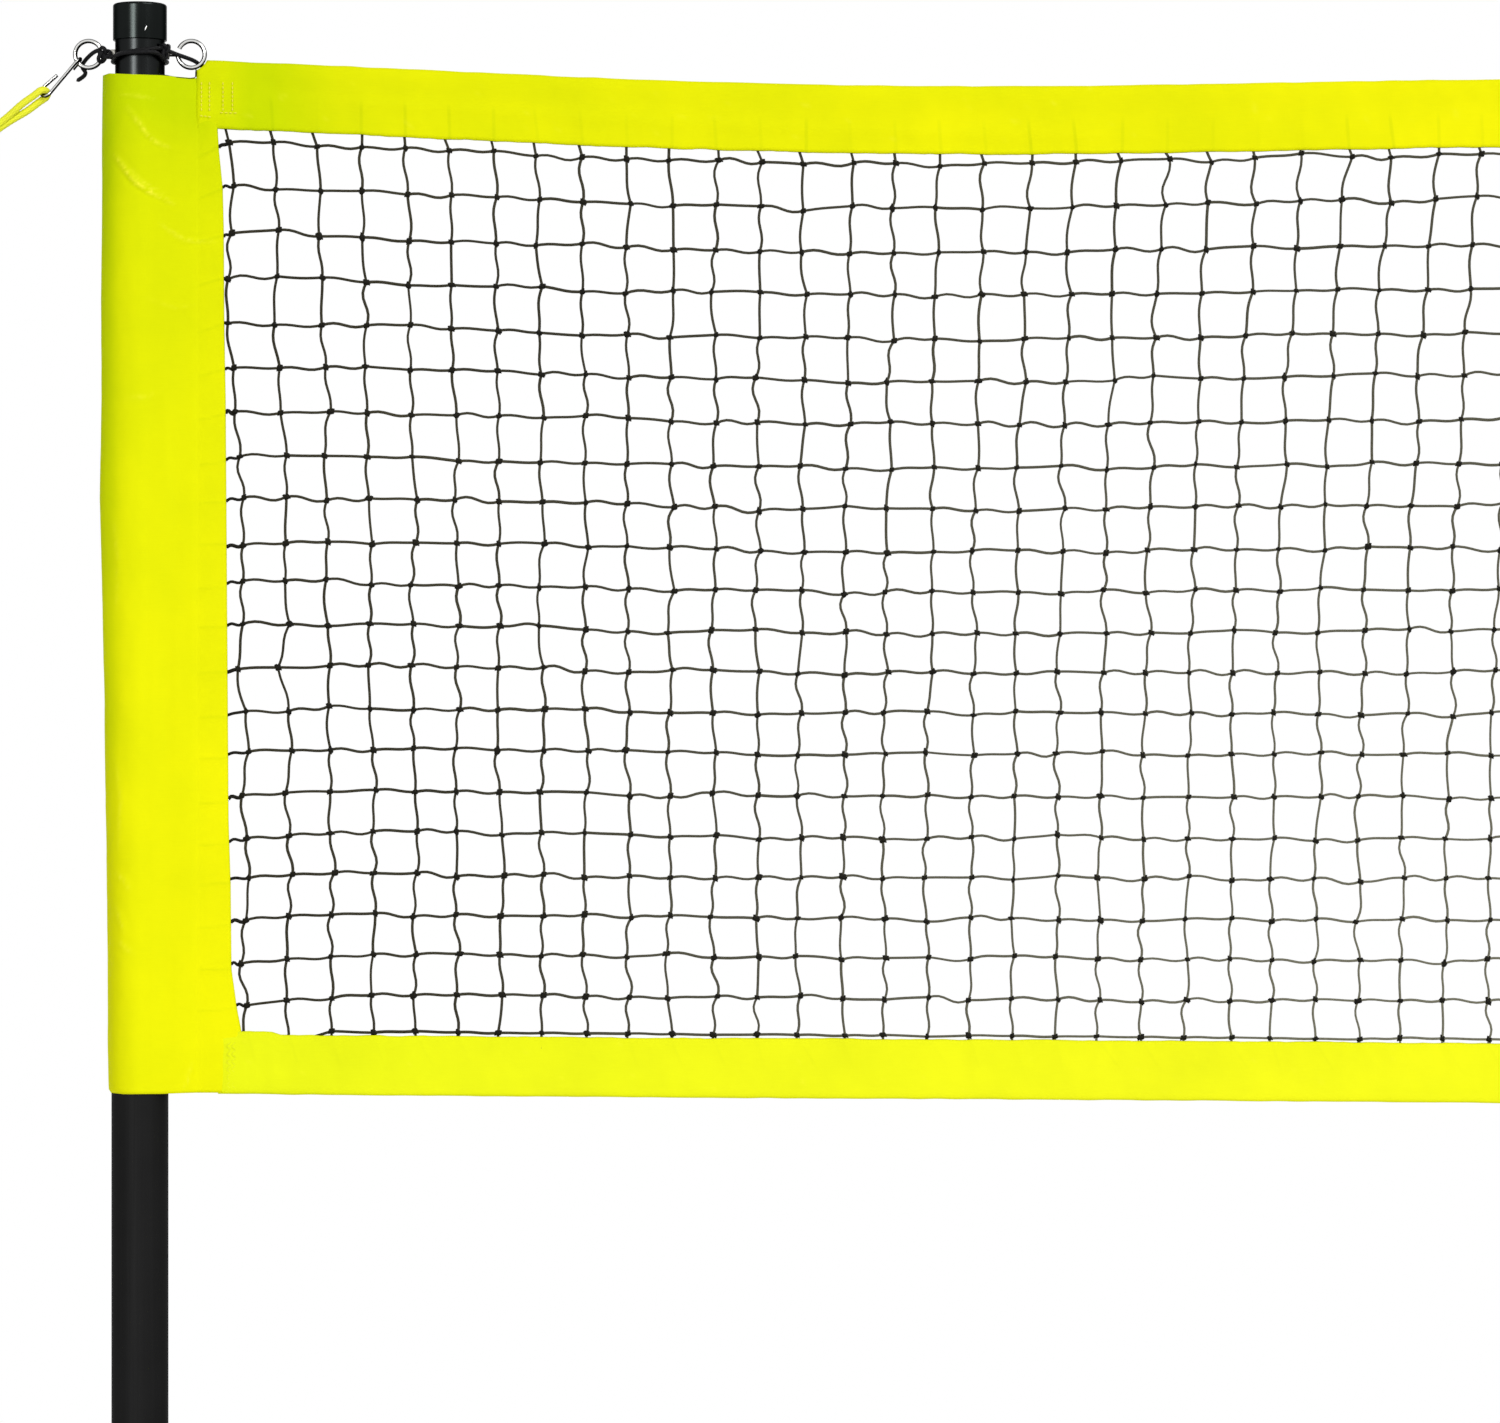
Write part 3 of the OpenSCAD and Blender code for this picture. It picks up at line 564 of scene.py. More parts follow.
# colour, worn colour, roughness, streaks, glint
PAINTS = materials(painted_material, {
    "charcoal paint": ((0.0112, 0.0122, 0.0122), (0.022, 0.0235, 0.024), 0.26, 0.35, 0.35),
    "worn charcoal paint": ((0.0115, 0.0115, 0.0115), (0.020, 0.020, 0.020), 0.58, 0.35, 0.6),
    "cap plastic": ((0.0086, 0.0100, 0.0096), (0.018, 0.0210, 0.0200), 0.2, 0.3, 0.45),
    "flange paint": ((0.017, 0.0175, 0.018), (0.042, 0.041, 0.041), 0.38, 0.5, 0.5),
    "foot plastic": ((0.012, 0.012, 0.012), (0.030, 0.029, 0.028), 0.6, 0.5, 0.5),
})
# colour, dull colour and roughness, then grain, glint, the colour of a painted dark reflection on the sides
# and lower, where they are given
METALS = materials(metal_material, {
    "bright zinc": (*ZINC, (0.008, 0.008, 0.007), 0.85),
    "hook zinc": (*ZINC, (0.006, 0.006, 0.006), 1.1),
    "nut zinc": ((0.42, 0.41, 0.37), (0.25, 0.24, 0.21), 0.26),
    "button steel": ((0.72, 0.72, 0.72), (0.5, 0.5, 0.5), 0.22, 0.5),
    "spring steel": ((0.5, 0.51, 0.53), (0.33, 0.32, 0.32), 0.35),
    "stake zinc": ((0.68, 0.69, 0.70), (0.40, 0.40, 0.39), 0.34, 1.5),
    "bare chip": ((0.92, 0.92, 0.92), (0.8, 0.8, 0.8), 0.35),
})

# ---- camera, light and floor ----

# the photograph's width, seen from this far away, and the place of its middle
VIEW_WIDTH, DISTANCE, VIEW_X, VIEW_Z = 1.344, 5, 0.5466, 1.8863

camera = bpy.data.objects.new("camera", bpy.data.cameras.new("camera"))
camera.location = (VIEW_X, -DISTANCE, VIEW_Z)
camera.rotation_euler = (math.radians(90), 0, 0)
camera.data.sensor_width = 36
camera.data.lens = 36 * DISTANCE / VIEW_WIDTH
camera.data.clip_end = 200
bpy.context.scene.collection.objects.link(camera)
bpy.context.scene.camera = camera
bpy.context.scene.view_settings.view_transform = "Standard"


def sun(name, azimuth, elevation, strength, spread):
    """A lamp as seen from the net: azimuth is from straight in front, to the right."""
    data = bpy.data.lights.new(name, "SUN")
    data.energy, data.angle = strength, math.radians(spread)
    lamp = bpy.data.objects.new(name, data)
    lamp.rotation_euler = (math.radians(90 - elevation), 0, math.radians(azimuth))
    bpy.context.scene.collection.objects.link(lamp)
    return lamp


sun("key", azimuth=42, elevation=30, strength=1.62, spread=34)
sun("left", azimuth=-22, elevation=2, strength=0.95, spread=12)
sun("back", azimuth=165, elevation=38, strength=0.9, spread=40)
# a strip light for the satin tubes and caps alone
strip = sun("strip", azimuth=-23.5, elevation=2, strength=1.75, spread=23)
strip.visible_diffuse = False
satin = bpy.data.collections.new("satin")
strip.light_linking.receiver_collection = satin

# the world is white to the eye, and gives less light than that
WORLD_LIGHT = 0.36
world = bpy.data.worlds.new("studio")
world.use_nodes = True
bpy.context.scene.world = world
sky = Nodes(world.node_tree)
rays = {ray.socket.name: ray for ray in sky.outputs("LightPath")}
seen = sky.math("MAXIMUM", rays["Is Camera Ray"], rays["Is Glossy Ray"])
seen = sky.math("MAXIMUM", seen, rays["Is Transmission Ray"])
background = world.node_tree.nodes["Background"]
sky.put(background, "Color", (1, 1, 1, 1))
sky.put(background, "Strength", sky.fit(seen, 0.0, 1.0, WORLD_LIGHT, 1.0))


def make_floor():
    m = Mat("pale floor", Roughness=0.7, Specular_IOR_Level=0.2)
    m.set(Base_Color=m.mix(m.noise(m.place(), 3.0), (0.83, 0.83, 0.83), (0.80, 0.80, 0.80)))
    x, y = np.meshgrid(np.linspace(-7, 17, 25), np.linspace(-6, 6, 13))
    grid = np.stack([x, y, np.zeros_like(x)], -1)
    part = (grid.reshape(-1, 3), [quads(numbers(grid))], [corner_map(grid[..., :2])])
    mesh("floor", [part], m.material)


# ---- tie cords ----

# from the headline's end to the pole, and from the pole through the outer eye to the bare
# end, in mm from the pole's axis and the eyes' height
TIE_ROUTE = [
    (64, 0, -8.65), (62, 0, -8.65), (60.2, 0.8, -9.6), (58, 3, -10.2), (54.5, 5.6, -9.6), (50, 3, -6.4),
    (46, 0, -4.6), (41, -3.6, -3), (35, -6.8, -1.2), (29.5, -9.6, 0.8), (25, -11, 2.6),
]
TIE_TAIL = [
    (-27, -9.4, -3.4), (-31, -8.4, -2), (-36, -6.4, 2.6), (-41, -3.6, 1.4), (-46, 0, -2),
    (-50, 4.6, -5.4), (-52.6, 8.6, -8.4), (-52.4, 11, -11.4), (-50.4, 11.4, -14.2),
    (-50.6, 10.8, -17), (-53.6, 9.6, -20), (-58, 8.4, -23),
]
# the arc between the two, round the front of the pole: radius, height and fall in mm
CROSSING_R, CROSSING_HIGH, CROSSING_FALL = 24.5, 4.4, 7.4
CROSSING_ANGLES = (-28, -46, -64, -82, -100, -118, -136, -152)
# each knot's scale, its turn about y, and its place from the pole's axis and the eyes' height
TIE_KNOTS = (
    ((0.0033, 0.0037, 0.0072), 0.12, (0.0238, -0.0114, 0.0020)),
    ((0.0056, 0.0043, 0.0072), 0.5, (-0.0316, -0.0082, -0.0010)),
)
TIE_R, KNOT_R, CORD_BRAID = 0.0019, 0.0018, 0.005


def braid(strands, pitch, depth):
    """A shape for tube: strands that run round it both ways and stand out."""
    return lambda a, s: 1 + depth * (np.cos(strands * a + 2 * np.pi * s / pitch)
                                     * np.cos(strands * a - 2 * np.pi * s / pitch))


def knot_line(size, turn, centre):
    """An overhand knot drawn tight: a trefoil, scaled on three axes and turned about y."""
    t = np.linspace(0, 2 * np.pi, 72, endpoint=False)
    p = [np.sin(t) + 2 * np.sin(2 * t), -1.6 * np.sin(3 * t), np.cos(t) - 2 * np.cos(2 * t)]
    return turned(np.stack(p, 1) / 3 * np.asarray(size), turn) + centre


def tie_line():
    """The tie cord at the left end, from the headline's end to its own."""
    a = np.radians(CROSSING_ANGLES)
    fall = CROSSING_FALL * np.arange(len(a)) / (len(a) - 1)
    crossing = np.stack([CROSSING_R * np.cos(a), CROSSING_R * np.sin(a), CROSSING_HIGH - fall], 1)
    points = np.array([*TIE_ROUTE, *crossing, *TIE_TAIL]) / 1000 + [0, 0, EYE_Z]
    return resampled(curve_points(points), 0.0009)


def second_turn():
    """A second turn round the pole, below the nuts and over the first strand in front."""
    a = np.radians(np.arange(0, 360, 3))
    face = np.clip(-np.sin(a), 0, 1)
    height = -0.0067 + 0.0056 * ramp(face, 0.3, 0.65) * (1 + 0.25 * np.cos(a))
    out = 0.0243 + 0.0036 * ramp(face, 0.4, 0.45)
    return np.stack([out * np.cos(a), out * np.sin(a), EYE_Z + height], 1)


def tie_cord(side):
    line = tie_line()
    laid = tube(line, TIE_R, 18, braid(5, CORD_BRAID, 0.06), rounded=3)
    cord = piece(f"{side}_tie_cord_laid", [laid], BLACK_CORD, "cord", f"{side}_tie_cord")
    for i, (size, turn, centre) in enumerate(TIE_KNOTS):
        route = knot_line(size, turn, np.add(centre, [0, 0, EYE_Z]))
        wound = tube(route, KNOT_R, 14, braid(5, CORD_BRAID, 0.05), closed=True)
        piece(f"{side}_tie_knot_{i + 1}", [wound], BLACK_CORD, "cord")
    second = tube(second_turn(), KNOT_R, 16, braid(5, CORD_BRAID, 0.06), closed=True)
    piece(f"{side}_tie_turn", [second], BLACK_CORD, "cord")
    path = line if side == "left" else flipped(line)


# ---- guy ropes ----

# the stakes' rings: how far out, how far to each side, how high, and their radius
STAKE_OUT, STAKE_SIDE, STAKE_HEAD, STAKE_RING_R = 3.4, 1.1, 0.024, 0.009
# the S-hook's slope and where it hangs in the eye
HOOK_SLOPE, HOOK_HANG = math.radians(50), math.radians(35)
# the eye's radius, the hook's two bends and its shank, and half of both wires with their gap
EYE_R, HOOK_TOP_R, HOOK_BEND, HOOK_SHANK, HOOK_HOLD = 0.012, 0.0062, 0.0066, 0.034, 0.0037
# length and bight of the loops on the hook and on the stakes, and the knots' length
HOOK_LOOP, HOOK_BIGHT = 0.104, 0.0049
STAKE_LOOP, STAKE_BIGHT = 0.046, 0.0058
KNOT_H = 0.020
# a loop's outline: share of its length, and share of the way from the neck to the bight
LOOP_SHAPE = ((0.07, 0.8), (0.15, 0.95), (0.22, 0.7), (0.3, 0), (0.38, -0.5), (0.5, -0.75), (0.9, -0.75),
              (1, -0.3))
ROPE_BRAID = 0.0075

hook_dir = np.array([-math.cos(HOOK_SLOPE), 0, -math.sin(HOOK_SLOPE)])
hook_up = np.array([-math.sin(HOOK_SLOPE), 0, math.cos(HOOK_SLOPE)])
eye_hold = np.array([-EYE_X - EYE_R * math.cos(HOOK_HANG), 0, EYE_Z - EYE_R * math.sin(HOOK_HANG)])
hook_top = eye_hold + (HOOK_TOP_R - HOOK_HOLD / math.cos(HOOK_SLOPE - HOOK_HANG)) * hook_dir
hook_side = (hook_up + np.array([0, 1, 0])) / math.sqrt(2)
hook_centre = hook_top + [0, -HOOK_TOP_R, 0] + HOOK_SHANK * hook_dir + HOOK_BEND * hook_side
# the loop bears on the hook where the ropes' pull takes it
stake_mid = np.array([-STAKE_OUT, 0, STAKE_HEAD])
hook_normal = np.cross(hook_side, hook_dir)
hook_pull = unit(stake_mid - hook_centre)
bear = unit(hook_pull - hook_pull @ hook_normal * hook_normal)
rope_hold = hook_centre + HOOK_BEND * bear
loop_dir = unit(stake_mid - rope_hold)
loop_side = unit(np.cross(np.cross(hook_normal, bear), loop_dir))
loop_end = rope_hold + HOOK_LOOP * loop_dir
knot_end = loop_end + KNOT_H * loop_dir


def loop_line(hold, direction, side, bight, length, step):
    """A loop from its knot round what it holds and back."""
    neck = ROPE_D / 2 + 0.0001
    strand = [(length * at, neck + share * (bight - neck)) for at, share in LOOP_SHAPE]
    strand.append((length + 0.004, neck))
    bend = [(bight * math.cos(a), bight * math.sin(a)) for a in map(math.radians, range(90, 271, 20))]
    route = strand[::-1] + bend + [(x, -y) for x, y in strand]
    return resampled(curve_points([hold + x * direction + y * side for x, y in route]), step)


def wound_knot(start, direction, side):
    """A stopper knot: turns wound round the rope, one pass lying across them."""
    t = np.linspace(0, 1, 150)
    a = 2 * np.pi * 3.1 * t
    r = 0.0047 + 0.0006 * np.sin(np.pi * t)
    other = np.cross(direction, side)
    x = KNOT_H * (0.14 + 0.72 * t)
    wound = (start + x[:, None] * direction + (r * np.cos(a))[:, None] * side
             + (r * np.sin(a))[:, None] * other)
    s = np.linspace(0, 1, 24)
    across = (start + (KNOT_H * (0.04 + 0.92 * s))[:, None] * direction
              + (0.0072 * np.sin(np.pi * s) + 0.001)[:, None] * side)
    shape = braid(8, ROPE_BRAID, 0.04)
    return [tube(wound, 0.0029, 14, shape, rounded=3),
            tube(resampled(across, 0.001), 0.0028, 14, shape, rounded=3)]


def guy_rope(side):
    rope = braid(8, ROPE_BRAID, 0.055)
    upper = loop_line(rope_hold, loop_dir, loop_side, HOOK_BIGHT, HOOK_LOOP, 0.0008)
    parts = [tube(upper, ROPE_D / 2, 32, rope), *wound_knot(loop_end, loop_dir, loop_side)]
    for way in (-1, 1):
        ring = np.array([-STAKE_OUT, way * STAKE_SIDE, STAKE_HEAD])
        pull = unit(knot_end - ring)
        wire = ring + STAKE_RING_R * pull
        level_side = unit(np.cross([0, 0, 1], pull))
        low_knot = wire + STAKE_LOOP * pull
        lower = loop_line(wire, pull, level_side, STAKE_BIGHT, STAKE_LOOP, 0.0012)
        parts += [tube(lower, ROPE_D / 2, 24, rope), *wound_knot(low_knot, pull, level_side)]
        # the leg's ends are inside the two knots
        start = knot_end + [0, way * (ROPE_D / 2 + 0.0003), 0] - 0.004 * pull
        end = low_knot + 0.016 * pull
        parts.append(tube(start + (end - start) * np.linspace(0, 1, 181)[:, None], ROPE_D / 2, 16))
    piece(f"{side}_guy_rope_laid", parts, ROPES["lime rope"], "rope", f"{side}_guy_rope")


# ---- sleeves ----

# the hem's edge in the photograph
EDGE_ROWS = (118, 128, 152, 188, 232, 324, 400, 820, 886, 969, 1009, 1032, 1094)
EDGE_COLUMNS = (216, 217.5, 219, 222.7, 223.7, 224.2, 225.6, 228.5, 230.6, 231.4, 237, 241.5, 242)
# how far the pocket's left side is from the pole's axis, in mm, by rows of the photograph
LEFT_ROWS = (60, 80, 200, 300, 400, 500, 600, 700, 800, 900, 1000, 1080, 1094)
LEFT_R = (32.4, 32.8, 33.6, 34.9, 34.4, 36.0, 33.4, 31.0, 30.2, 29.2, 28.3, 27.7, 27.4)
# the seam between pocket and hem, half its thickness, and the pocket's radius before it hangs
SEAM_X, SEAM_HALF, POCKET_R = 0.052, 0.0021, 0.0272
# points round the pocket and across the hem, and the sleeve's height
AROUND, HEM, SLEEVE_H = 104, 12, 0.912

# creases of the left sleeve's front: lines in the photograph, with their height and width in mm
CREASES = [
    ([(130, 110), (142, 125), (149, 136), (158, 144), (172, 150)], 0.8, 2.0),
    ([(118, 158), (128, 171), (138, 184), (150, 193), (163, 199), (176, 206)], 1.2, 2.0),
    ([(134, 171), (143, 182), (154, 190), (166, 195)], 0.5, 1.4),
    ([(163, 226), (176, 235), (186, 241), (215, 242)], 0.6, 1.8),
    ([(123, 98), (140, 99), (158, 102)], 0.35, 1.8),
    ([(128, 401), (150, 398), (163, 392)], 0.35, 2.2),
    ([(120, 940), (127, 945), (137, 952)], 0.55, 2.4),
    ([(119, 872), (128, 880), (133, 889)], 0.5, 3.0),
    ([(118, 905), (124, 918), (127, 930)], 0.45, 3.0),
    ([(183, 1092), (189, 1078), (193, 1062)], 0.4, 2.4),
    ([(150, 300), (176, 309), (196, 306)], 0.22, 3.0),
    ([(116, 520), (121, 560), (119, 610)], 0.3, 3.5),
    ([(118, 760), (124, 800), (121, 850)], 0.35, 3.5),
]
# on the right sleeve they are lower by this many rows, and weaker
FAR_ROWS, FAR_SHARE = 37, 0.8

# where the rows of knots lie, in thousandths of the way from the first to the last
ROW_AT = (0, 51, 102, 151, 201, 249, 299, 349, 396, 445, 492, 538, 585, 631, 678, 726, 773, 820, 866, 911,
          957, 1000)
# how far, in pixels, each row drops from its first knot to the hem, and its slope in the hem
STUB_DROP = np.array([5, 2, 4, 1, 1, 2, 2, 4, 4, 2, 3, 2, 3, 4, 3, 4, 4, 1, 2, 1, 0])
STUB_SLOPE = (-0.5, -0.42, -0.2, -0.3, -0.3, -0.25, -0.2, -0.2) + (-0.05,) * 13
STUBS = len(STUB_DROP)


def hem_edge(z):
    return np.interp(z, pz(EDGE_ROWS)[::-1], px(EDGE_COLUMNS)[::-1])


def sleeve_top(x):
    return np.interp(x, (-0.036, -0.0254, 0.018, 0.0496, 0.09), (2.4552, 2.4581, 2.4566, 2.4538, 2.4532))


def sleeve_low(x):
    return np.interp(x, (-0.032, -0.012, 0.02, 0.05, 0.1), (1.5450, 1.5434, 1.5436, 1.5447, 1.5447))


def knot_height(row, x):
    """Height of a row of knots. The meshes are a little taller in the upper half."""
    near = from_pole(x)
    first = top_line(x) - TOP_H - np.interp(near, (0.31, 1.0), (0.011, 0.0063))
    last = bottom_line(x) + BOTTOM_H + 0.0034
    share = np.interp(row, np.arange(ROWS), ROW_AT) / 1000
    column = (near - FIRST) / PITCH
    droop = np.interp(row, (0, 2, 5, 11, 13, 18, 19, 21), (0, 0, 5, 5, 10, 12, 16, 17)) * PIXEL
    return first + share * (last - first) - droop * np.exp(-np.maximum(column, 0) / 1.5)


def distance_to(x, z, points):
    """Distance from the places (x, z) to a bent line, and how far along it they are."""
    best, share = np.full(x.shape, 1e9), np.zeros(x.shape)
    for i, (a, b) in enumerate(zip(points, points[1:])):
        d = b - a
        t = np.clip(((x - a[0]) * d[0] + (z - a[1]) * d[1]) / (d @ d), 0, 1)
        gap = np.hypot(x - a[0] - t * d[0], z - a[1] - t * d[1])
        near = gap < best
        best = np.where(near, gap, best)
        share = np.where(near, (i + t) / (len(points) - 1), share)
    return best, share


def pocket_outline():
    """The pocket's section: round the pole, and on both sides a bowed line to the seam."""
    turn = math.atan2(SEAM_HALF, SEAM_X) + math.acos(POCKET_R / math.hypot(SEAM_X, SEAM_HALF))
    end_x, end_y = POCKET_R * math.cos(turn), -POCKET_R * math.sin(turn)
    arc = (2 * math.pi - 2 * turn) * POCKET_R
    run = math.hypot(SEAM_X - end_x, SEAM_HALF + end_y)
    d = np.linspace(0, 1, AROUND) * (2 * run + arc)
    a = -turn - (d - run) / POCKET_R
    t = np.minimum(d, 2 * run + arc - d) / run
    bow = 0.0009 * np.sin(np.pi * t)
    x = np.where(t < 1, SEAM_X + t * (end_x - SEAM_X) + bow * 0.5, POCKET_R * np.cos(a))
    line_y = np.where(d < run, 1, -1) * (-SEAM_HALF + t * (end_y + SEAM_HALF) - bow)
    return x, np.where(t < 1, line_y, POCKET_R * np.sin(a))


def sleeve_section(z):
    """Grids of x and y for a column of heights: the hem's front, the pocket, the hem's back."""
    x, y = (np.broadcast_to(q, (len(z), AROUND)) for q in pocket_outline())
    left = np.interp(z, pz(LEFT_ROWS)[::-1], np.array(LEFT_R)[::-1]) / 1000
    x = np.where(x < 0, x * left / POCKET_R, x)
    t = np.linspace(0, 1, HEM)[None, :-1]
    hem_x = hem_edge(z) + (SEAM_X - hem_edge(z)) * t
    hem_y = -(SEAM_HALF + 0.0003 * np.sin(np.pi * t)) * np.ones_like(hem_x)
    return np.concatenate([hem_x, x, hem_x[:, ::-1]], 1), np.concatenate([hem_y, y, -hem_y[:, ::-1]], 1)


def fading(share):
    return np.sin(np.pi * np.clip(share, 0.04, 0.96))


def add_creases(out, x, y, z, side, seed):
    """Adds the front's creases and some on the back. Gives how pale they are painted: a painted highlight
    along each crease, with some wear.
    """
    front = np.where(y < 0, 1.0, 0.0)
    pale = np.zeros_like(out)
    broken = np.clip(0.8 + 1.3 * wobble2(x, z, 0.0021, 0.0017, seed + 3), 0, 1.5)
    uneven = 0.8 + 0.5 * wobble2(x, z, 0.0045, 0.004, seed + 4)
    lower, share_of = (0, 1) if side == "left" else (FAR_ROWS, FAR_SHARE)
    for line, h, w in CREASES:
        columns, rows = np.array(line).T
        gap, share = distance_to(x, z, np.stack([px(columns), pz(rows + lower)], 1))
        gap, h, fade = gap * 1000, h * share_of, fading(share) ** 0.6
        out += front * fade * uneven * 1.3 * h / 1000 * (hill(gap, w) - 0.5 * hill(gap - 2.2 * w, w))
        # pale lines along the creases: painted highlight, with some wear
        pale += front * fade * broken * 0.7 * h * hill(gap, 1.7)
    for i in range(9):
        r = np.random.default_rng(seed + 60 + i)
        zc, xc, tilt = r.uniform(1.6, 2.42), r.uniform(-0.02, 0.03), r.uniform(-0.8, 0.8)
        ends = np.array([[xc - 0.018, zc + 0.018 * tilt], [xc + 0.018, zc - 0.018 * tilt]])
        gap, share = distance_to(x, z, ends)
        out += (1 - front) * 0.0007 * fading(share) * hill(gap, 0.0022)
    return pale


def add_ridges(out, x, z, inside, seed):
    """Adds the ridges over the strands' ends in the hem. Gives the distance to the nearest."""
    strand_gap = np.full_like(out, 0.25)
    for k in range(STUBS):
        knot = knot_height(k, np.array(FIRST)) - STUB_DROP[k] * PIXEL
        bend = 0.0006 * wobble(x, 0.01, seed + k)
        gap = np.abs(z - (knot - STUB_SLOPE[k] * (x - hem_edge(knot)) + bend))
        out += inside * 0.0006 * hill(gap, 0.0015)
        strand_gap = np.minimum(strand_gap, gap / PITCH)
    out += inside * 0.0002 * wobble(z, 0.011, seed + 9)
    return strand_gap


def sleeve_tone_and_light(x, z, seed):
    """How far the sleeve's colour goes from green to yellow, which is painted light and shade:
    yellower towards its foot and to the right, greener on its left side, with a little random tone.
    """
    # painted light and shade: yellower towards the foot and to the right
    tone_and_painted_light = np.interp(z, (1.55, 1.75, 2.1, 2.33, 2.39, 2.43, 2.458),
                     (0.90, 0.92, 0.74, 0.56, 0.44, 0.12, 0.10))
    tone_and_painted_light = tone_and_painted_light + 2.4 * np.clip(x, -0.03, 0.08) * (0.35 + tone_and_painted_light * 0.3) - 0.06
    # painted shade: greener on the left side
    tone_and_painted_light = tone_and_painted_light - (0.06 + 0.30 * ramp(z, 1.68, 0.25)) * ramp(x, -0.010, -0.020)
    return np.clip(tone_and_painted_light + 0.05 * wobble2(x, z, 0.04, 0.09, seed + 7), 0, 1)


def sleeve(side):
    seed = 20 if side == "left" else 40
    # heights: even steps, and much finer ones in the upper part with its creases
    z0 = np.concatenate([np.arange(sleeve_low(0), 2.242, 0.0031), np.linspace(2.2435, sleeve_top(0), 130)])
    x, y = sleeve_section(z0[:, None])
    nx, ny = (-n for n in normals(x, y))
    z = np.broadcast_to(z0[:, None], x.shape)
    high, low = ramp(z, 2.426, 0.03), ramp(z, 1.575, -0.03)
    z = z + high * (sleeve_top(x) - sleeve_top(0)) + low * (sleeve_low(x) - sleeve_low(0))
    z = z + np.minimum(y, 0) * (0.115 * high - 0.068 * low)
    # loose cloth: long soft folds, small wrinkles and the creases
    loose = ramp(x, SEAM_X - 0.004, -0.02)
    out = loose * (0.0007 * wobble2(x + 3 * y, z, 0.030, 0.16, seed)
                   + 0.00035 * wobble2(x, z + 0.4 * x, 0.013, 0.045, seed + 1))
    out += 0.00012 * wobble2(x, z, 0.006, 0.012, seed + 2)
    pale = add_creases(out, x, y, z, side, seed)
    inside = ramp(x, 0.050, 0.006)
    strand_gap = add_ridges(out, x, z, inside, seed)
    # the lower edge rolls in round the pole's left side
    corner = np.clip((1.5492 - z) / 0.0046, 0, 0.999)
    out -= 0.0030 * (1 - np.sqrt(1 - corner ** 2)) * ramp(x, -0.006, -0.016)
    at = along(np.hypot(np.diff(x[0]), np.diff(y[0])))
    # painted shade: the far left side of the upper half is a little darker
    dark = ramp(x, -0.017, -0.014) * ramp(z, 2.08, 0.25)
    strand_gap = np.where(dark > 0, 0, strand_gap)
    tone_and_painted_light = sleeve_tone_and_light(x, z, seed)
    maps = (at, z, strand_gap, inside * 0.5 + dark, pale, tone_and_painted_light)
    obj = cloth(f"{side}_sleeve_cloth", "lime cloth", f"{side}_sleeve", (x + nx * out, y + ny * out, z),
                (-nx, -ny, 0 * nx), maps, np.s_[:, ::-1])


# ---- tapes ----

# how far knots lie from their even places, by distance from the pole, in the first and last row
TOP_SHIFT = ((0.08, 0.24, 0.4, 0.55, 0.7, 0.85, 1.0, 1.13, 1.4, 1.8, 2.4, 3.0, 3.6),
             (-0.0003, 0.0026, 0.0065, 0.0112, 0.0169, 0.0236, 0.0310, 0.0365, 0.0385, 0.033, 0.018,
              0.006, 0))
LOW_SHIFT = ((0.08, 0.27, 0.47, 0.66, 0.86, 1.05, 1.5, 2.0),
             (0.0155, 0.0111, 0.0076, 0.005, 0.0033, 0.0025, 0.001, 0))
# where the tapes start, and the notch of the upper one round the inner eye
TOP_START, LOW_START, NOTCH_R, NOTCH_END = 0.0507, 0.0700, 0.0149, 0.10
# half the thickness of the upper and the lower tape's fold, and of both below it
TOP_FOLD, LOW_FOLD, TAPE_HALF = 0.0042, 0.0035, 0.0029

column_x = FIRST + PITCH * np.arange(COLUMNS)


def drift(x, row):
    """How far the knots of a row lie from their even places along the net."""
    share = (1 - np.exp(-row / 8.4)) / (1 - math.exp(-2.5))

    def shift(near):
        top, low = np.interp(near, *TOP_SHIFT), np.interp(near, *LOW_SHIFT)
        return top + (low - top) * share

    return shift(x) - shift(SPAN - x)


def band_stations(first):
    """Places along a tape, close together near the poles."""
    half = np.concatenate([np.arange(first, 1.42, 0.004), np.arange(1.42, SPAN / 2, 0.02)])
    return np.concatenate([half, [SPAN / 2], (SPAN - half)[::-1]])


def band_profile(height, full, thin):
    """Depth and half thickness down the front of a tape, round its fold and up its back."""
    free = [(d, thin + (full - thin) * (1 - ramp(d, 0.008, 0.02)))
            for d in np.linspace(0, height, 20)[:0:-1] if d >= full]
    bend = [(full * (1 - math.cos(a)), full * math.sin(a)) for a in np.radians([75, 60, 45, 30, 15])]
    depth, half = np.array(free + bend + [(0.0, 0.0)]).T
    return np.concatenate([depth, depth[-2::-1]]), np.concatenate([-half, half[-2::-1]])


def notched(x, depth, seed):
    """Draws the upper tape's ends back round the inner eyes."""
    near = from_pole(x)
    rise = NET_TOP - EYE_Z - depth
    start = EYE_X + np.sqrt(np.maximum(NOTCH_R ** 2 - rise ** 2, 0))
    start = np.maximum(start, TOP_START) + 0.0004 * wobble(depth, 0.012, seed)
    moved = start + (near - TOP_START) * (NOTCH_END - start) / (NOTCH_END - TOP_START)
    near = np.where(near < NOTCH_END, moved, near)
    return np.where(x < SPAN / 2, near, SPAN - near)


def band_columns(s, upper):
    """Number of the upright at each station, with fractions between them."""
    spots = column_x + drift(column_x, 0 if upper else ROWS - 1)
    spots = np.concatenate([[2 * spots[0] - spots[3]], spots, [2 * spots[-1] - spots[-4]]])
    return np.interp(s, spots, np.concatenate([[-3], np.arange(COLUMNS), [COLUMNS + 2]]))


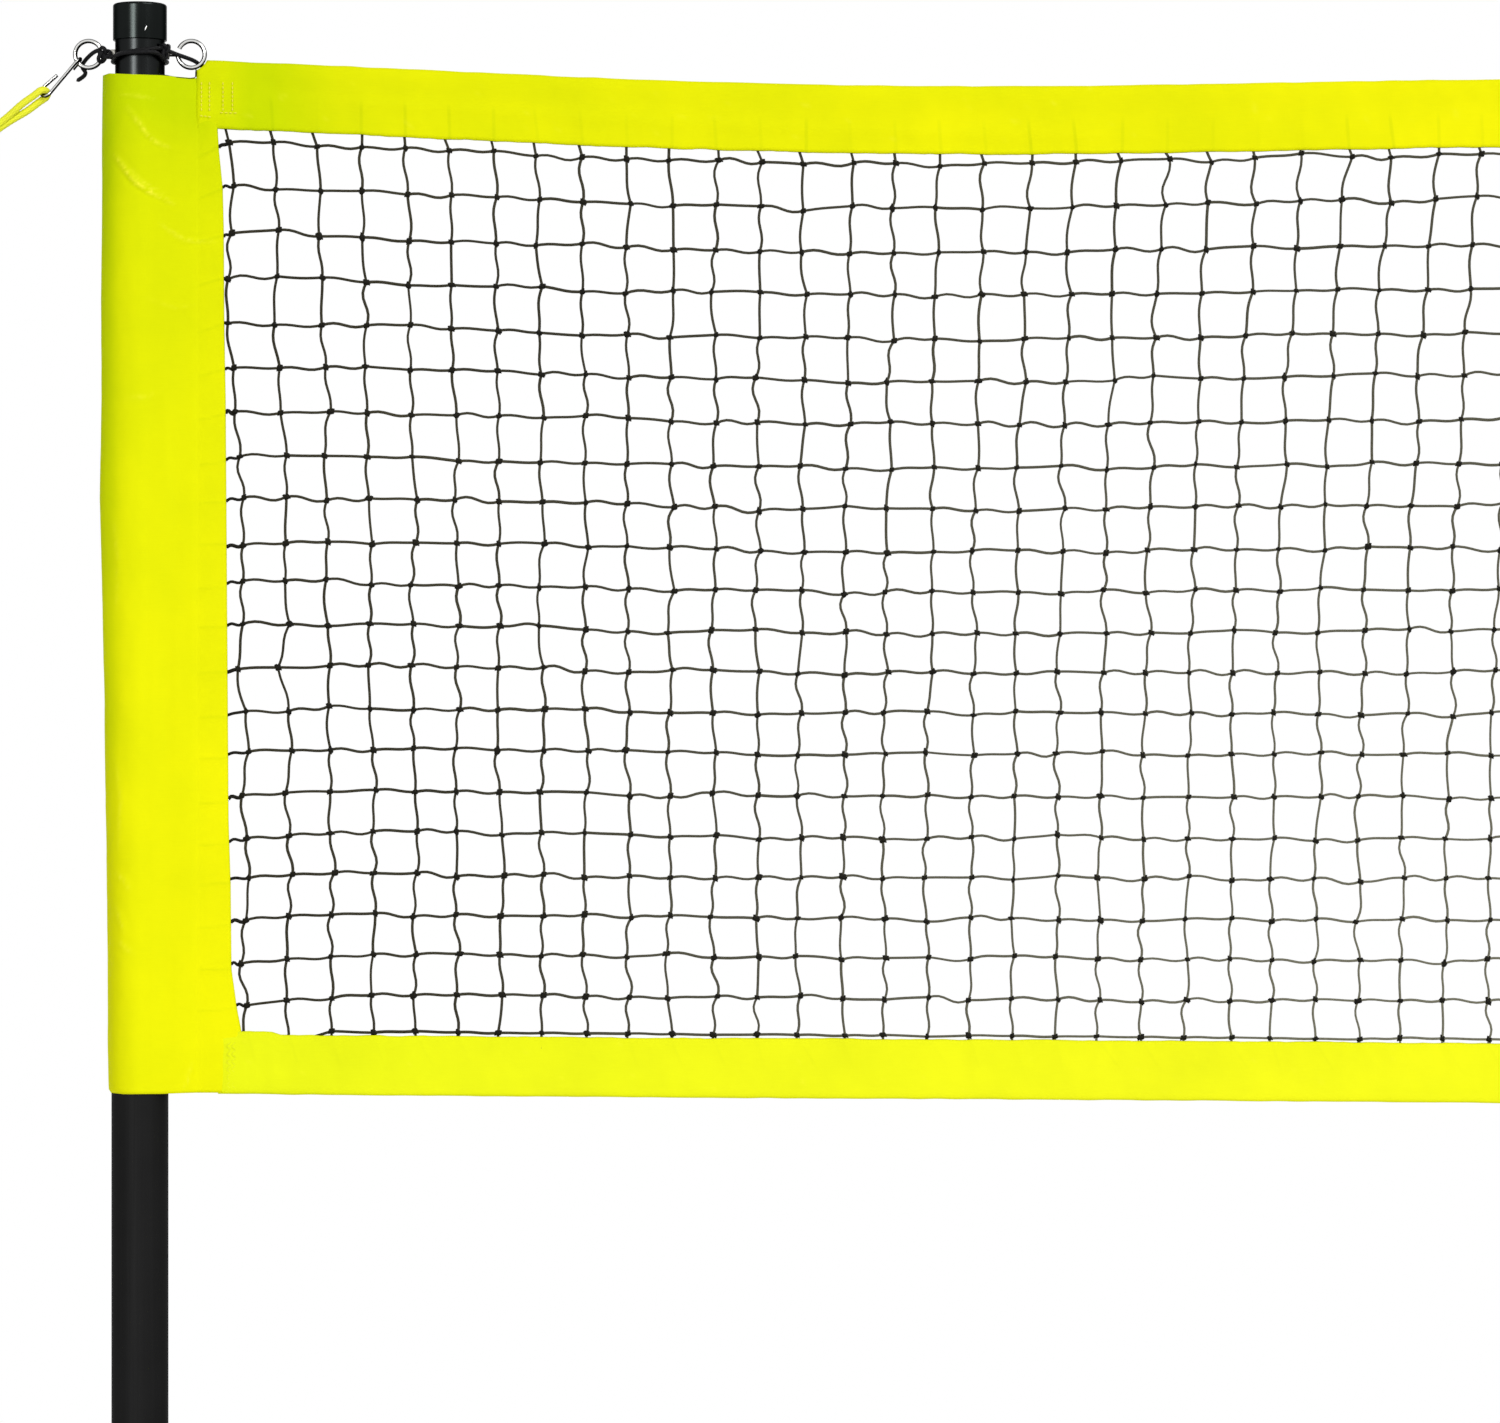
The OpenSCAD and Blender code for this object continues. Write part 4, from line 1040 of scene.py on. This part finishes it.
def band(name, upper, first, height, node):
    """A tape folded in two along its outer edge."""
    seed, way, share, look = (70, -1, 1.0, "lime tape") if upper else (90, 1, 0.3, "lower lime tape")
    s = band_stations(first)
    line = top_line(s) if upper else bottom_line(s)
    down, half = band_profile(height, TOP_FOLD if upper else LOW_FOLD, TAPE_HALF)
    station, depth = np.meshgrid(s, down, indexing="ij")
    near = from_pole(station)
    sign = np.sign(np.broadcast_to(half, station.shape))
    free = ramp(depth, height * 0.35, height * 0.65)
    edge_wave = free * (0.0005 * wobble(station, 0.021, seed) + 0.0003 * wobble(station, 0.0065, seed + 1))
    fold_wave = (1 - free) * 0.0003 * wobble(station, 0.017, seed + 2)
    x = notched(station, depth, seed + 3) if upper else station
    z = line[:, None] + way * depth + edge_wave + fold_wave
    # the strands beneath stand out, and lean as they do in the net
    column = band_columns(s, upper)
    lean = wobble(np.round(column), 1.0, seed + 8)
    lean = 0.08 * lean - 0.06 if upper else 0.3 * lean + 0.5
    column = column[:, None] - lean[:, None] * (height - depth) / PITCH
    ridge = hill(np.abs((column + 0.5) % 1 - 0.5), 0.05)
    beneath = ramp(depth, height * 0.45, 0.01)
    pucker = (0.00045 * wobble2(station, depth, 0.011, 0.02, seed + 4)
              + 0.00055 * wobble2(station, depth, 0.05, 0.05, seed + 5))
    swell = pucker * ramp(depth, 0, 0.008) + 0.00045 * ridge * beneath
    # the corner is doubled, and sewn down flat over the sleeve's hem
    if upper:
        # a diagonal slack fold in the first metre, as the tape hangs from the tie
        slack = ramp(near, 0.12, 0.1) * (1 - ramp(near, 0.75, 0.3))
        swell += 0.0007 * hill(depth - 0.035 - 0.02 * (near - 0.3), 0.006) * slack
        patch = ramp(near, first, 0.002) * (1 - ramp(near, 0.0875, 0.0015))
        swell += 0.0005 * patch * ramp(depth, 0.014, 0.002)
        sewn, flat = ramp(depth, 0.050, 0.008) * (1 - ramp(near, 0.070, 0.006)), 0.0021
        # painted light and shade: greener near the pole, yellower along the tape
        tone_and_painted_light = np.interp(near, (0.055, 0.075, 0.10, 0.12, 0.18, 0.32, 0.64, 1.3),
                         (0.36, 0.33, 0.08, 0.12, 0.62, 0.72, 0.86, 1.0))
    else:
        patch = 1 - ramp(near, px(275), 0.002)
        swell += 0.0005 * patch
        z = z + free * 0.0024 * patch
        sewn = np.maximum(1 - ramp(near, 0.0715, 0.007),
                          ramp(depth, height - 0.009, 0.006) * (1 - ramp(near, 0.0885, 0.003)))
        flat = np.minimum(np.abs(half), 0.0019)
        # painted light: a little greener near the pole, yellower along the tape
        tone_and_painted_light = np.interp(near, (0.07, 0.4, 0.9, 1.3), (0.70, 0.82, 0.96, 1.0))
    y = half + sign * swell
    y = y + sewn * (sign * flat - y)
    ny, nz = (way * n for n in normals(y, z))
    across = along(np.hypot(np.diff(down), np.diff(half)))
    tone_and_painted_light = tone_and_painted_light + 0.05 * wobble2(station, depth, 0.06, 0.03, seed + 7)
    fleck = np.maximum(0, wobble2(station, depth, 0.0045, 0.004, seed + 9) - 0.86) * 2.5
    shown = beneath * (1 - ramp(near, 0.10, -0.01)) * (0.35 + 0.3 * wobble(station, 0.05, seed + 6)) * share
    maps = (x, across, column, shown, fleck, tone_and_painted_light)
    obj = cloth(name, look, node, (x, y, z), (0 * ny, -ny, -nz), maps, np.s_[::-1] if upper else np.s_[:])


# ---- stitches and small things ----

# rows of stitches on the upper corner in the photograph, from and to, with the thread's radius
CORNER_ROWS = (*(((x, 82), (x, 112), 0.0005) for x in (202, 210, 223.5, 233)),
               ((200, 116), (212, 117.5), 0.00045), ((220, 113), (238, 113.5), 0.00045))
# two columns of slanting stitches on the lower corner
LOW_COLUMNS, LOW_ROW, LOW_STEP, LOW_COUNT = (227, 232), 1042, 3.9, 12
# half the tapes' thickness where they are sewn
TOP_FACE, LOW_FACE = 0.0042, 0.0038
# the headline: its ends' distance from the poles' axes, how deep it lies, and its radius
HEADLINE_END, HEADLINE_DEEP, HEADLINE_R = 0.0642, 0.0042, 0.0023
# the pale fleck on the left cap: the cap's radius, the fleck's foot, its reach from there and its radius
CAP_R, FLECK_FOOT, FLECK_REACH, FLECK_R = 0.0241, (0.0068, 0, 2.4937), (0.0018, 0, 0.0047), 0.0006
# a thin black line along the sleeve's upper edge and up the tape's corner, where the edge's shade falls:
# painted shade. Its line in the photograph, how far below that it lies, and its radius in mm
EDGE_SHADE_LINE = ((161, 75.7), (166, 76.1), (172, 76.7), (181, 77.2), (190, 77.6), (195.4, 77.6),
               (196.4, 76.6), (196.5, 73.5), (196.6, 70.0))
EDGE_SHADE_LOWER = (0.0010, 0.0012, 0.0014, 0.0016, 0.0014, 0.0006, 0, 0, 0)
EDGE_SHADE_R = (0.5, 0.6, 0.55, 0.42, 0.35, 0.4, 0.65, 0.7, 0.5)


def stitch(a, b, r):
    """One thread stitch, a low spindle from a to b."""
    a, b = np.asarray(a, float), np.asarray(b, float)
    return tube(a + (b - a) * np.linspace(0, 1, 5)[:, None], r * np.array([0.35, 0.9, 1, 0.9, 0.35]), 6)


def stitch_row(start, end, r, y, pitch=0.0036):
    """Stitches on the face at y, between two points of the photograph."""
    start, end = (np.array([px(column), y, pz(row)]) for column, row in (start, end))
    n = max(1, int(np.linalg.norm(end - start) / pitch))
    way = (end - start) / n
    return [stitch(start + way * (i + 0.12), start + way * (i + 0.84), r) for i in range(n)]


def stitches(side):
    upper, lower = [], []
    for face in (-1, 1):
        for row in CORNER_ROWS:
            upper += stitch_row(*row, face * TOP_FACE)
        y = face * LOW_FACE
        for i in range(LOW_COUNT):
            row = LOW_ROW + LOW_STEP * i
            for x in LOW_COLUMNS:
                a, b = (x, x + 4) if i % 2 else (x + 4, x)
                lower.append(stitch([px(a), y, pz(row)], [px(b), y, pz(row + 3.3)], 0.0003))
    piece(f"{side}_corner_stitches", upper, ROPES["pale thread"], "tape")
    piece(f"{side}_lower_stitches", lower, ROPES["lime thread"], "tape")
    columns, rows = np.array(EDGE_SHADE_LINE).T
    x = px(columns)
    # on the pocket's slope down to the hem, and then on the tape
    y = np.minimum(-0.0242 + (x - 0.014) * 0.56, -0.0048)
    line = np.stack([x, y, pz(rows) - EDGE_SHADE_LOWER], 1)
    # painted shade: a black line where the edge's shade falls
    piece(f"{side}_edge_shade_line", [tube(line, np.array(EDGE_SHADE_R) / 1000, 8)], BLACK_CORD, "cord")


def cap_fleck():
    """A pale fleck on the left cap's side."""
    line = np.linspace(0, 1, 9)[:, None] * np.array(FLECK_REACH) + FLECK_FOOT
    line[:, 1] = -np.sqrt(CAP_R ** 2 - line[:, 0] ** 2) + 0.0001
    size = FLECK_R * np.array((0.2, 0.6, 0.9, 1, 1, 1, 0.9, 0.6, 0.2))
    piece("left_cap_fleck", [tube(line, size, 8)], METALS["bare chip"], "cap")


def headline():
    """The cord inside the upper tape."""
    x = np.linspace(HEADLINE_END, SPAN - HEADLINE_END, 1200)
    line = np.stack([x, 0 * x, top_line(x) - HEADLINE_DEEP], 1)
    piece("headline_cord_laid", [tube(line, HEADLINE_R)], BLACK_CORD, "cord", "headline_cord")


# ---- the mesh of the net ----

# where the first column's knots stand in the photograph, row by row, and the strand above
FIRST_KNOTS = (229, 234, 232, 228, 228, 234, 235, 240, 244, 243, 243, 243, 238, 246, 249, 242, 247, 249, 246,
               241, 247, 242)
TOP_COLUMN = 217
# the pieces of mesh: the first column of each and of the next. Those near the poles have more detail
PANELS = ((0, 10), (10, 20), (20, 30), (30, 69), (69, 108), (108, 147), (147, 186), (186, 226), (226, 237),
          (237, COLUMNS))
NEAR_COLUMNS = (30, 226)
LAST = COLUMNS - 1
# two bights of a knot: turn and slant, then width, height and place in mm
BIGHTS = ((0.7, 0.5, 2.0, 1.3, 0.25), (-0.6, -0.45, 1.75, 1.45, -0.3))
# the strand through a knot and its two cut ends, in mm
KNOT_CORE = ((-2.1, 0.1, -0.5), (-1.0, -0.3, -0.1), (0.1, 0.4, 0.2), (1.1, 0.1, 0.2), (2.1, -0.2, 0.5))
KNOT_ENDS = ((2.3, -0.7, -2.7), (-2.3, -0.5, 2.5))

rng = np.random.default_rng(1059)


def place_knots():
    """Where all the knots are, by column and row, with a row above and one below for the
    strands' ends in the tapes."""
    x, z = np.zeros((COLUMNS, ROWS + 2)), np.zeros((COLUMNS, ROWS + 2))
    y = rng.normal(0, 0.0003, x.shape)
    for k in range(ROWS + 2):
        row = k - 1
        shown_row = min(max(row, 0), ROWS - 1)
        x[:, k] = column_x + drift(column_x, shown_row) + rng.normal(0, 0.0016, COLUMNS)
        first = px(FIRST_KNOTS[shown_row])
        x[1, k] += 0.45 * (first - x[0, k])
        x[-2, k] -= 0.45 * (first - (SPAN - x[-1, k]))
        x[0, k], x[-1, k] = first, SPAN - first + rng.normal(0, 0.001)
        if row == ROWS - 1:
            # the last row hangs just above the tape, but for the hidden knots at its ends
            edge = bottom_line(x[:, k]) + BOTTOM_H
            z[:, k] = edge + 0.0034 + rng.normal(0, 0.0005, COLUMNS)
            z[[0, 1, -2, -1], k] = edge[[0, 1, -2, -1]] - 0.009
        elif row < 0:
            z[:, k] = top_line(x[:, k]) - 0.030 + rng.normal(0, 0.001, COLUMNS)
        elif row == ROWS:
            z[:, k] = bottom_line(x[:, k]) + 0.030
        else:
            z[:, k] = knot_height(row, x[:, k]) + rng.normal(0, 0.0012, COLUMNS)
    slant = rng.uniform(-0.003, 0.018, COLUMNS)
    x[:, 0] -= np.where(column_x < SPAN / 2, slant, -slant)
    x[0, 0], x[-1, 0] = px(TOP_COLUMN), SPAN - px(TOP_COLUMN)
    return np.stack([x, y, z], -1)


def strands(a, b, sway, bulge, sides, steps, radius):
    """Many strands at once, from points a to points b. sway is the first and second harmonic
    off the straight line, bulge is how far they stand out to the back."""
    t = np.linspace(0, 1, steps + 1)
    size = np.linalg.norm(b - a, axis=1)[:, None]
    side = np.cross((b - a) / size, [0, 1, 0])
    side /= np.linalg.norm(side, axis=1)[:, None]
    wave = sway[:, :1] * np.sin(np.pi * t) + sway[:, 1:] * np.sin(2 * np.pi * t)
    depth = bulge[:, None] * np.sin(np.pi * t)
    line = (a[:, None] + (b - a)[:, None] * t[None, :, None] + wave[..., None] * side[:, None]
            + depth[..., None] * np.array([0, 1, 0]))
    tangent = np.gradient(line, axis=1)
    tangent /= np.linalg.norm(tangent, axis=2)[..., None]
    out = np.array([0, 1.0, 0]) - tangent * tangent[..., 1:2]
    out /= np.linalg.norm(out, axis=2)[..., None]
    r = np.broadcast_to(radius[:, None, None], (*line.shape[:2], sides))
    return skin(line, r, out, np.cross(tangent, out), size * t)


def as_knot(part):
    """Marks a part for the darker colour of the knots."""
    verts, faces, maps = part
    return verts, faces, [m + [10, 0] for m in maps]


def knot_shape(fine):
    """A tied mesh knot: a bight round two strands, drawn up tight."""
    sides, steps = (7, 14) if fine else (4, 5)
    parts = []
    for tilt, lean, wide, tall, mid in BIGHTS:
        a = np.linspace(0, 2 * np.pi, steps, endpoint=False)
        up = tall * np.sin(a) * lean + mid + 0.4 * np.cos(2 * a)
        p = np.stack([wide * np.cos(a), 1.5 * np.sin(a), up], 1)
        parts.append(tube(turned(p, tilt) / 1000, TWINE_D / 2, sides, closed=True))
    parts.append(tube(np.array(KNOT_CORE) / 1000, np.array([0.8, 1.3, 1.55, 1.3, 0.8]) / 1000, sides))
    if fine:
        for end in KNOT_ENDS:
            parts.append(tube(np.outer([0.2, 0.65, 1], end) / 1000, np.array([1.2, 0.95, 0.4]) / 1000, 6))
    return as_knot(joined(parts))


def many(template, places, turns, scales):
    """Copies of a part, each turned about y, scaled and put in its place."""
    verts, faces, maps = template
    c, s = np.cos(turns), np.sin(turns)
    zero, one = 0 * c, 0 * c + 1
    turn = np.stack([c, zero, -s, zero, one, zero, s, zero, c], 1).reshape(-1, 3, 3)
    out = np.einsum("vi,nij->nvj", verts, turn) * scales[:, None, :] + places[:, None, :]
    step = (np.arange(len(places)) * len(verts))[:, None, None]
    return (out.reshape(-1, 3), [(f[None] + step).reshape(-1, f.shape[1]) for f in faces],
            [np.broadcast_to(m, (len(places), *m.shape)).reshape(-1, *m.shape[1:]) for m in maps])


def thickness(places):
    """The twine's share of its full thickness. It is thinner away from the poles, most low down."""
    inward = ramp(from_pole(places[:, 0]), 0.2, 0.8)
    return 1.07 - inward * (0.04 + 0.12 * ramp(places[:, 2], 2.3, -0.6))


def cells(first, end, rows):
    """Column and row numbers of all knots in some columns and rows."""
    i, k = np.meshgrid(np.arange(first, end), rows, indexing="ij")
    return i.ravel(), k.ravel()


def run_strands(a, b, sway, detail, share=1.0):
    """Strands of the twine with uneven thickness and depth."""
    width = TWINE_D / 2 * share * thickness(a) * np.exp(rng.normal(0, 0.05, len(a)))
    return strands(a, b, sway, rng.normal(0, 0.0006, len(a)), *detail, width)


def uprights(first, end, detail):
    """The strands that run up and down, at some columns."""
    i, k = cells(first, end, np.arange(ROWS + 1))
    a, b = knots[i, k], knots[i, k + 1]
    hidden = (k == 0) | (k == ROWS)
    sway = np.stack([rng.normal(0.6, 1.0, len(a)), rng.normal(1.1, 0.9, len(a))], 1)
    # slack uprights bow to one side, about a metre from the pole and at mid height
    near = from_pole(a[:, 0])
    slack = hill(near - 1.0, 0.22) * np.exp(-np.maximum(k - 1, 0) / 2.5)
    sway[:, 0] += 3.4 * slack + 1.4 * hill(near - 0.55, 0.25) * hill(k - 10, 3.5)
    sway[:, 1] -= 2.6 * slack
    sway *= PIXEL * np.where(hidden, 0.2, 1)[:, None]
    return run_strands(a, b, -sway, detail)


def rows_of_strands(first, end, detail):
    """The strands that run along the net, between some columns."""
    i, k = cells(first, min(end, LAST), np.arange(ROWS + 1))
    a, b = knots[i, k], knots[i + 1, k]
    sway = np.stack([rng.normal(0, 0.7, len(a)), rng.normal(0.9, 0.7, len(a))], 1) * PIXEL
    sway[(k == 0) | (k == ROWS)] *= 0.3
    return run_strands(a, b, sway, detail, 1.03)


def stubs(at_left):
    """The rows' ends, from the first or last column's knots into the hem."""
    column = knots[0 if at_left else LAST, 1:ROWS]
    drop = STUB_DROP * PIXEL
    z = column[:, 2] - drop
    edge, reach = (hem_edge(z), -0.018) if at_left else (SPAN - hem_edge(z), 0.018)
    ends = np.stack([edge + reach, 0 * z, z - 0.1 * drop], 1)
    lips = np.stack([edge, 0 * z, z], 1)
    wave = np.stack([np.full(STUBS, 0.0003), rng.normal(0.001, 0.0006, STUBS)], 1)
    thick = TWINE_D / 2 * (1.28 + 0.2 * np.cos(2.1 * np.arange(STUBS)))
    return [as_knot(strands(lips, column, wave, np.zeros(STUBS), 8, 8, thick)),
            strands(ends, lips, 0 * wave, np.zeros(STUBS), 8, 4, thick)]


def panel_knots(first, end, near):
    """A panel's knots, half of them mirrored. None is in the corners that the tape covers."""
    i, k = cells(first, end, np.arange(1, ROWS + 1))
    in_tape = (k == ROWS) & ((i < 2) | (i > LAST - 2))
    i, k = i[~in_tape], k[~in_tape]
    n = len(i)
    size = 1.06 - 0.08 * ramp(from_pole(knots[i, k, 0]), 0.4, 0.5)
    scale = size[:, None] * np.exp(rng.normal(0, 0.12, (n, 3)))
    scale[:, 0] *= np.where(rng.random(n) < 0.5, -1, 1)
    parts = []
    for mirrored in (False, True):
        chosen = (scale[:, 0] < 0) == mirrored
        turns = rng.normal(0, 0.35, chosen.sum())
        v, f, m = many(FINE_KNOT if near else PLAIN_KNOT, knots[i[chosen], k[chosen]], turns, scale[chosen])
        if mirrored:
            f, m = [q[:, ::-1] for q in f], [q[:, ::-1] for q in m]
        parts.append((v, f, m))
    return parts


def net_panel(number, first, end):
    near = end <= NEAR_COLUMNS[0] or first >= NEAR_COLUMNS[1]
    detail = (8, 8) if near else (5, 3)
    parts = [uprights(first, end, detail), rows_of_strands(first, end, detail)]
    if first == 0:
        parts += stubs(True)
    if end == COLUMNS:
        parts += stubs(False)
    parts += panel_knots(first, end, near)
    piece(f"net_mesh_{number}", parts, TWINE, "twine", *(("net_uprights", "net_rows") if number == 1 else ()))


# ---- everything in its place ----

make_floor()
for build in (tie_cord, guy_rope, sleeve):
    for side in SIDES:
        build(side)
band("top_tape_folded", True, TOP_START, TOP_H, "top_band")
band("bottom_tape_folded", False, LOW_START, BOTTOM_H, "bottom_band")
for side in SIDES:
    stitches(side)
cap_fleck()
headline()
knots = place_knots()
FINE_KNOT, PLAIN_KNOT = knot_shape(True), knot_shape(False)
for number, (first, end) in enumerate(PANELS, 1):
    net_panel(number, first, end)

# the CAD nodes that stay, with their materials
LOOKS = {
    "charcoal paint": ["top_section"], "worn charcoal paint": ["mid_section", "base_section"],
    "flange paint": ["base_flange"], "foot plastic": ["foot_plug"], "cap plastic": ["top_cap"],
    "bright zinc": ["outer_eye_bolt", "inner_eye_bolt"], "nut zinc": ["eye_nuts"], "hook zinc": ["s_hook"],
    "button steel": ["upper_button", "lower_button"], "spring steel": ["upper_spring", "lower_spring"],
    "stake zinc": ["front_stake", "back_stake"],
}
for look, names in LOOKS.items():
    material = (PAINTS | METALS)[look]
    for node in [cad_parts[f"{side}_{name}"] for side in SIDES for name in names]:
        if look in ("charcoal paint", "cap plastic"):
            satin.objects.link(node)
        if not node.material_slots:
            node.data.materials.append(material)
        for place in node.material_slots:
            place.material = material
        node.data.polygons.foreach_set("use_smooth", np.ones(len(node.data.polygons), bool))
        node.data.set_sharp_from_angle(angle=math.radians(32))
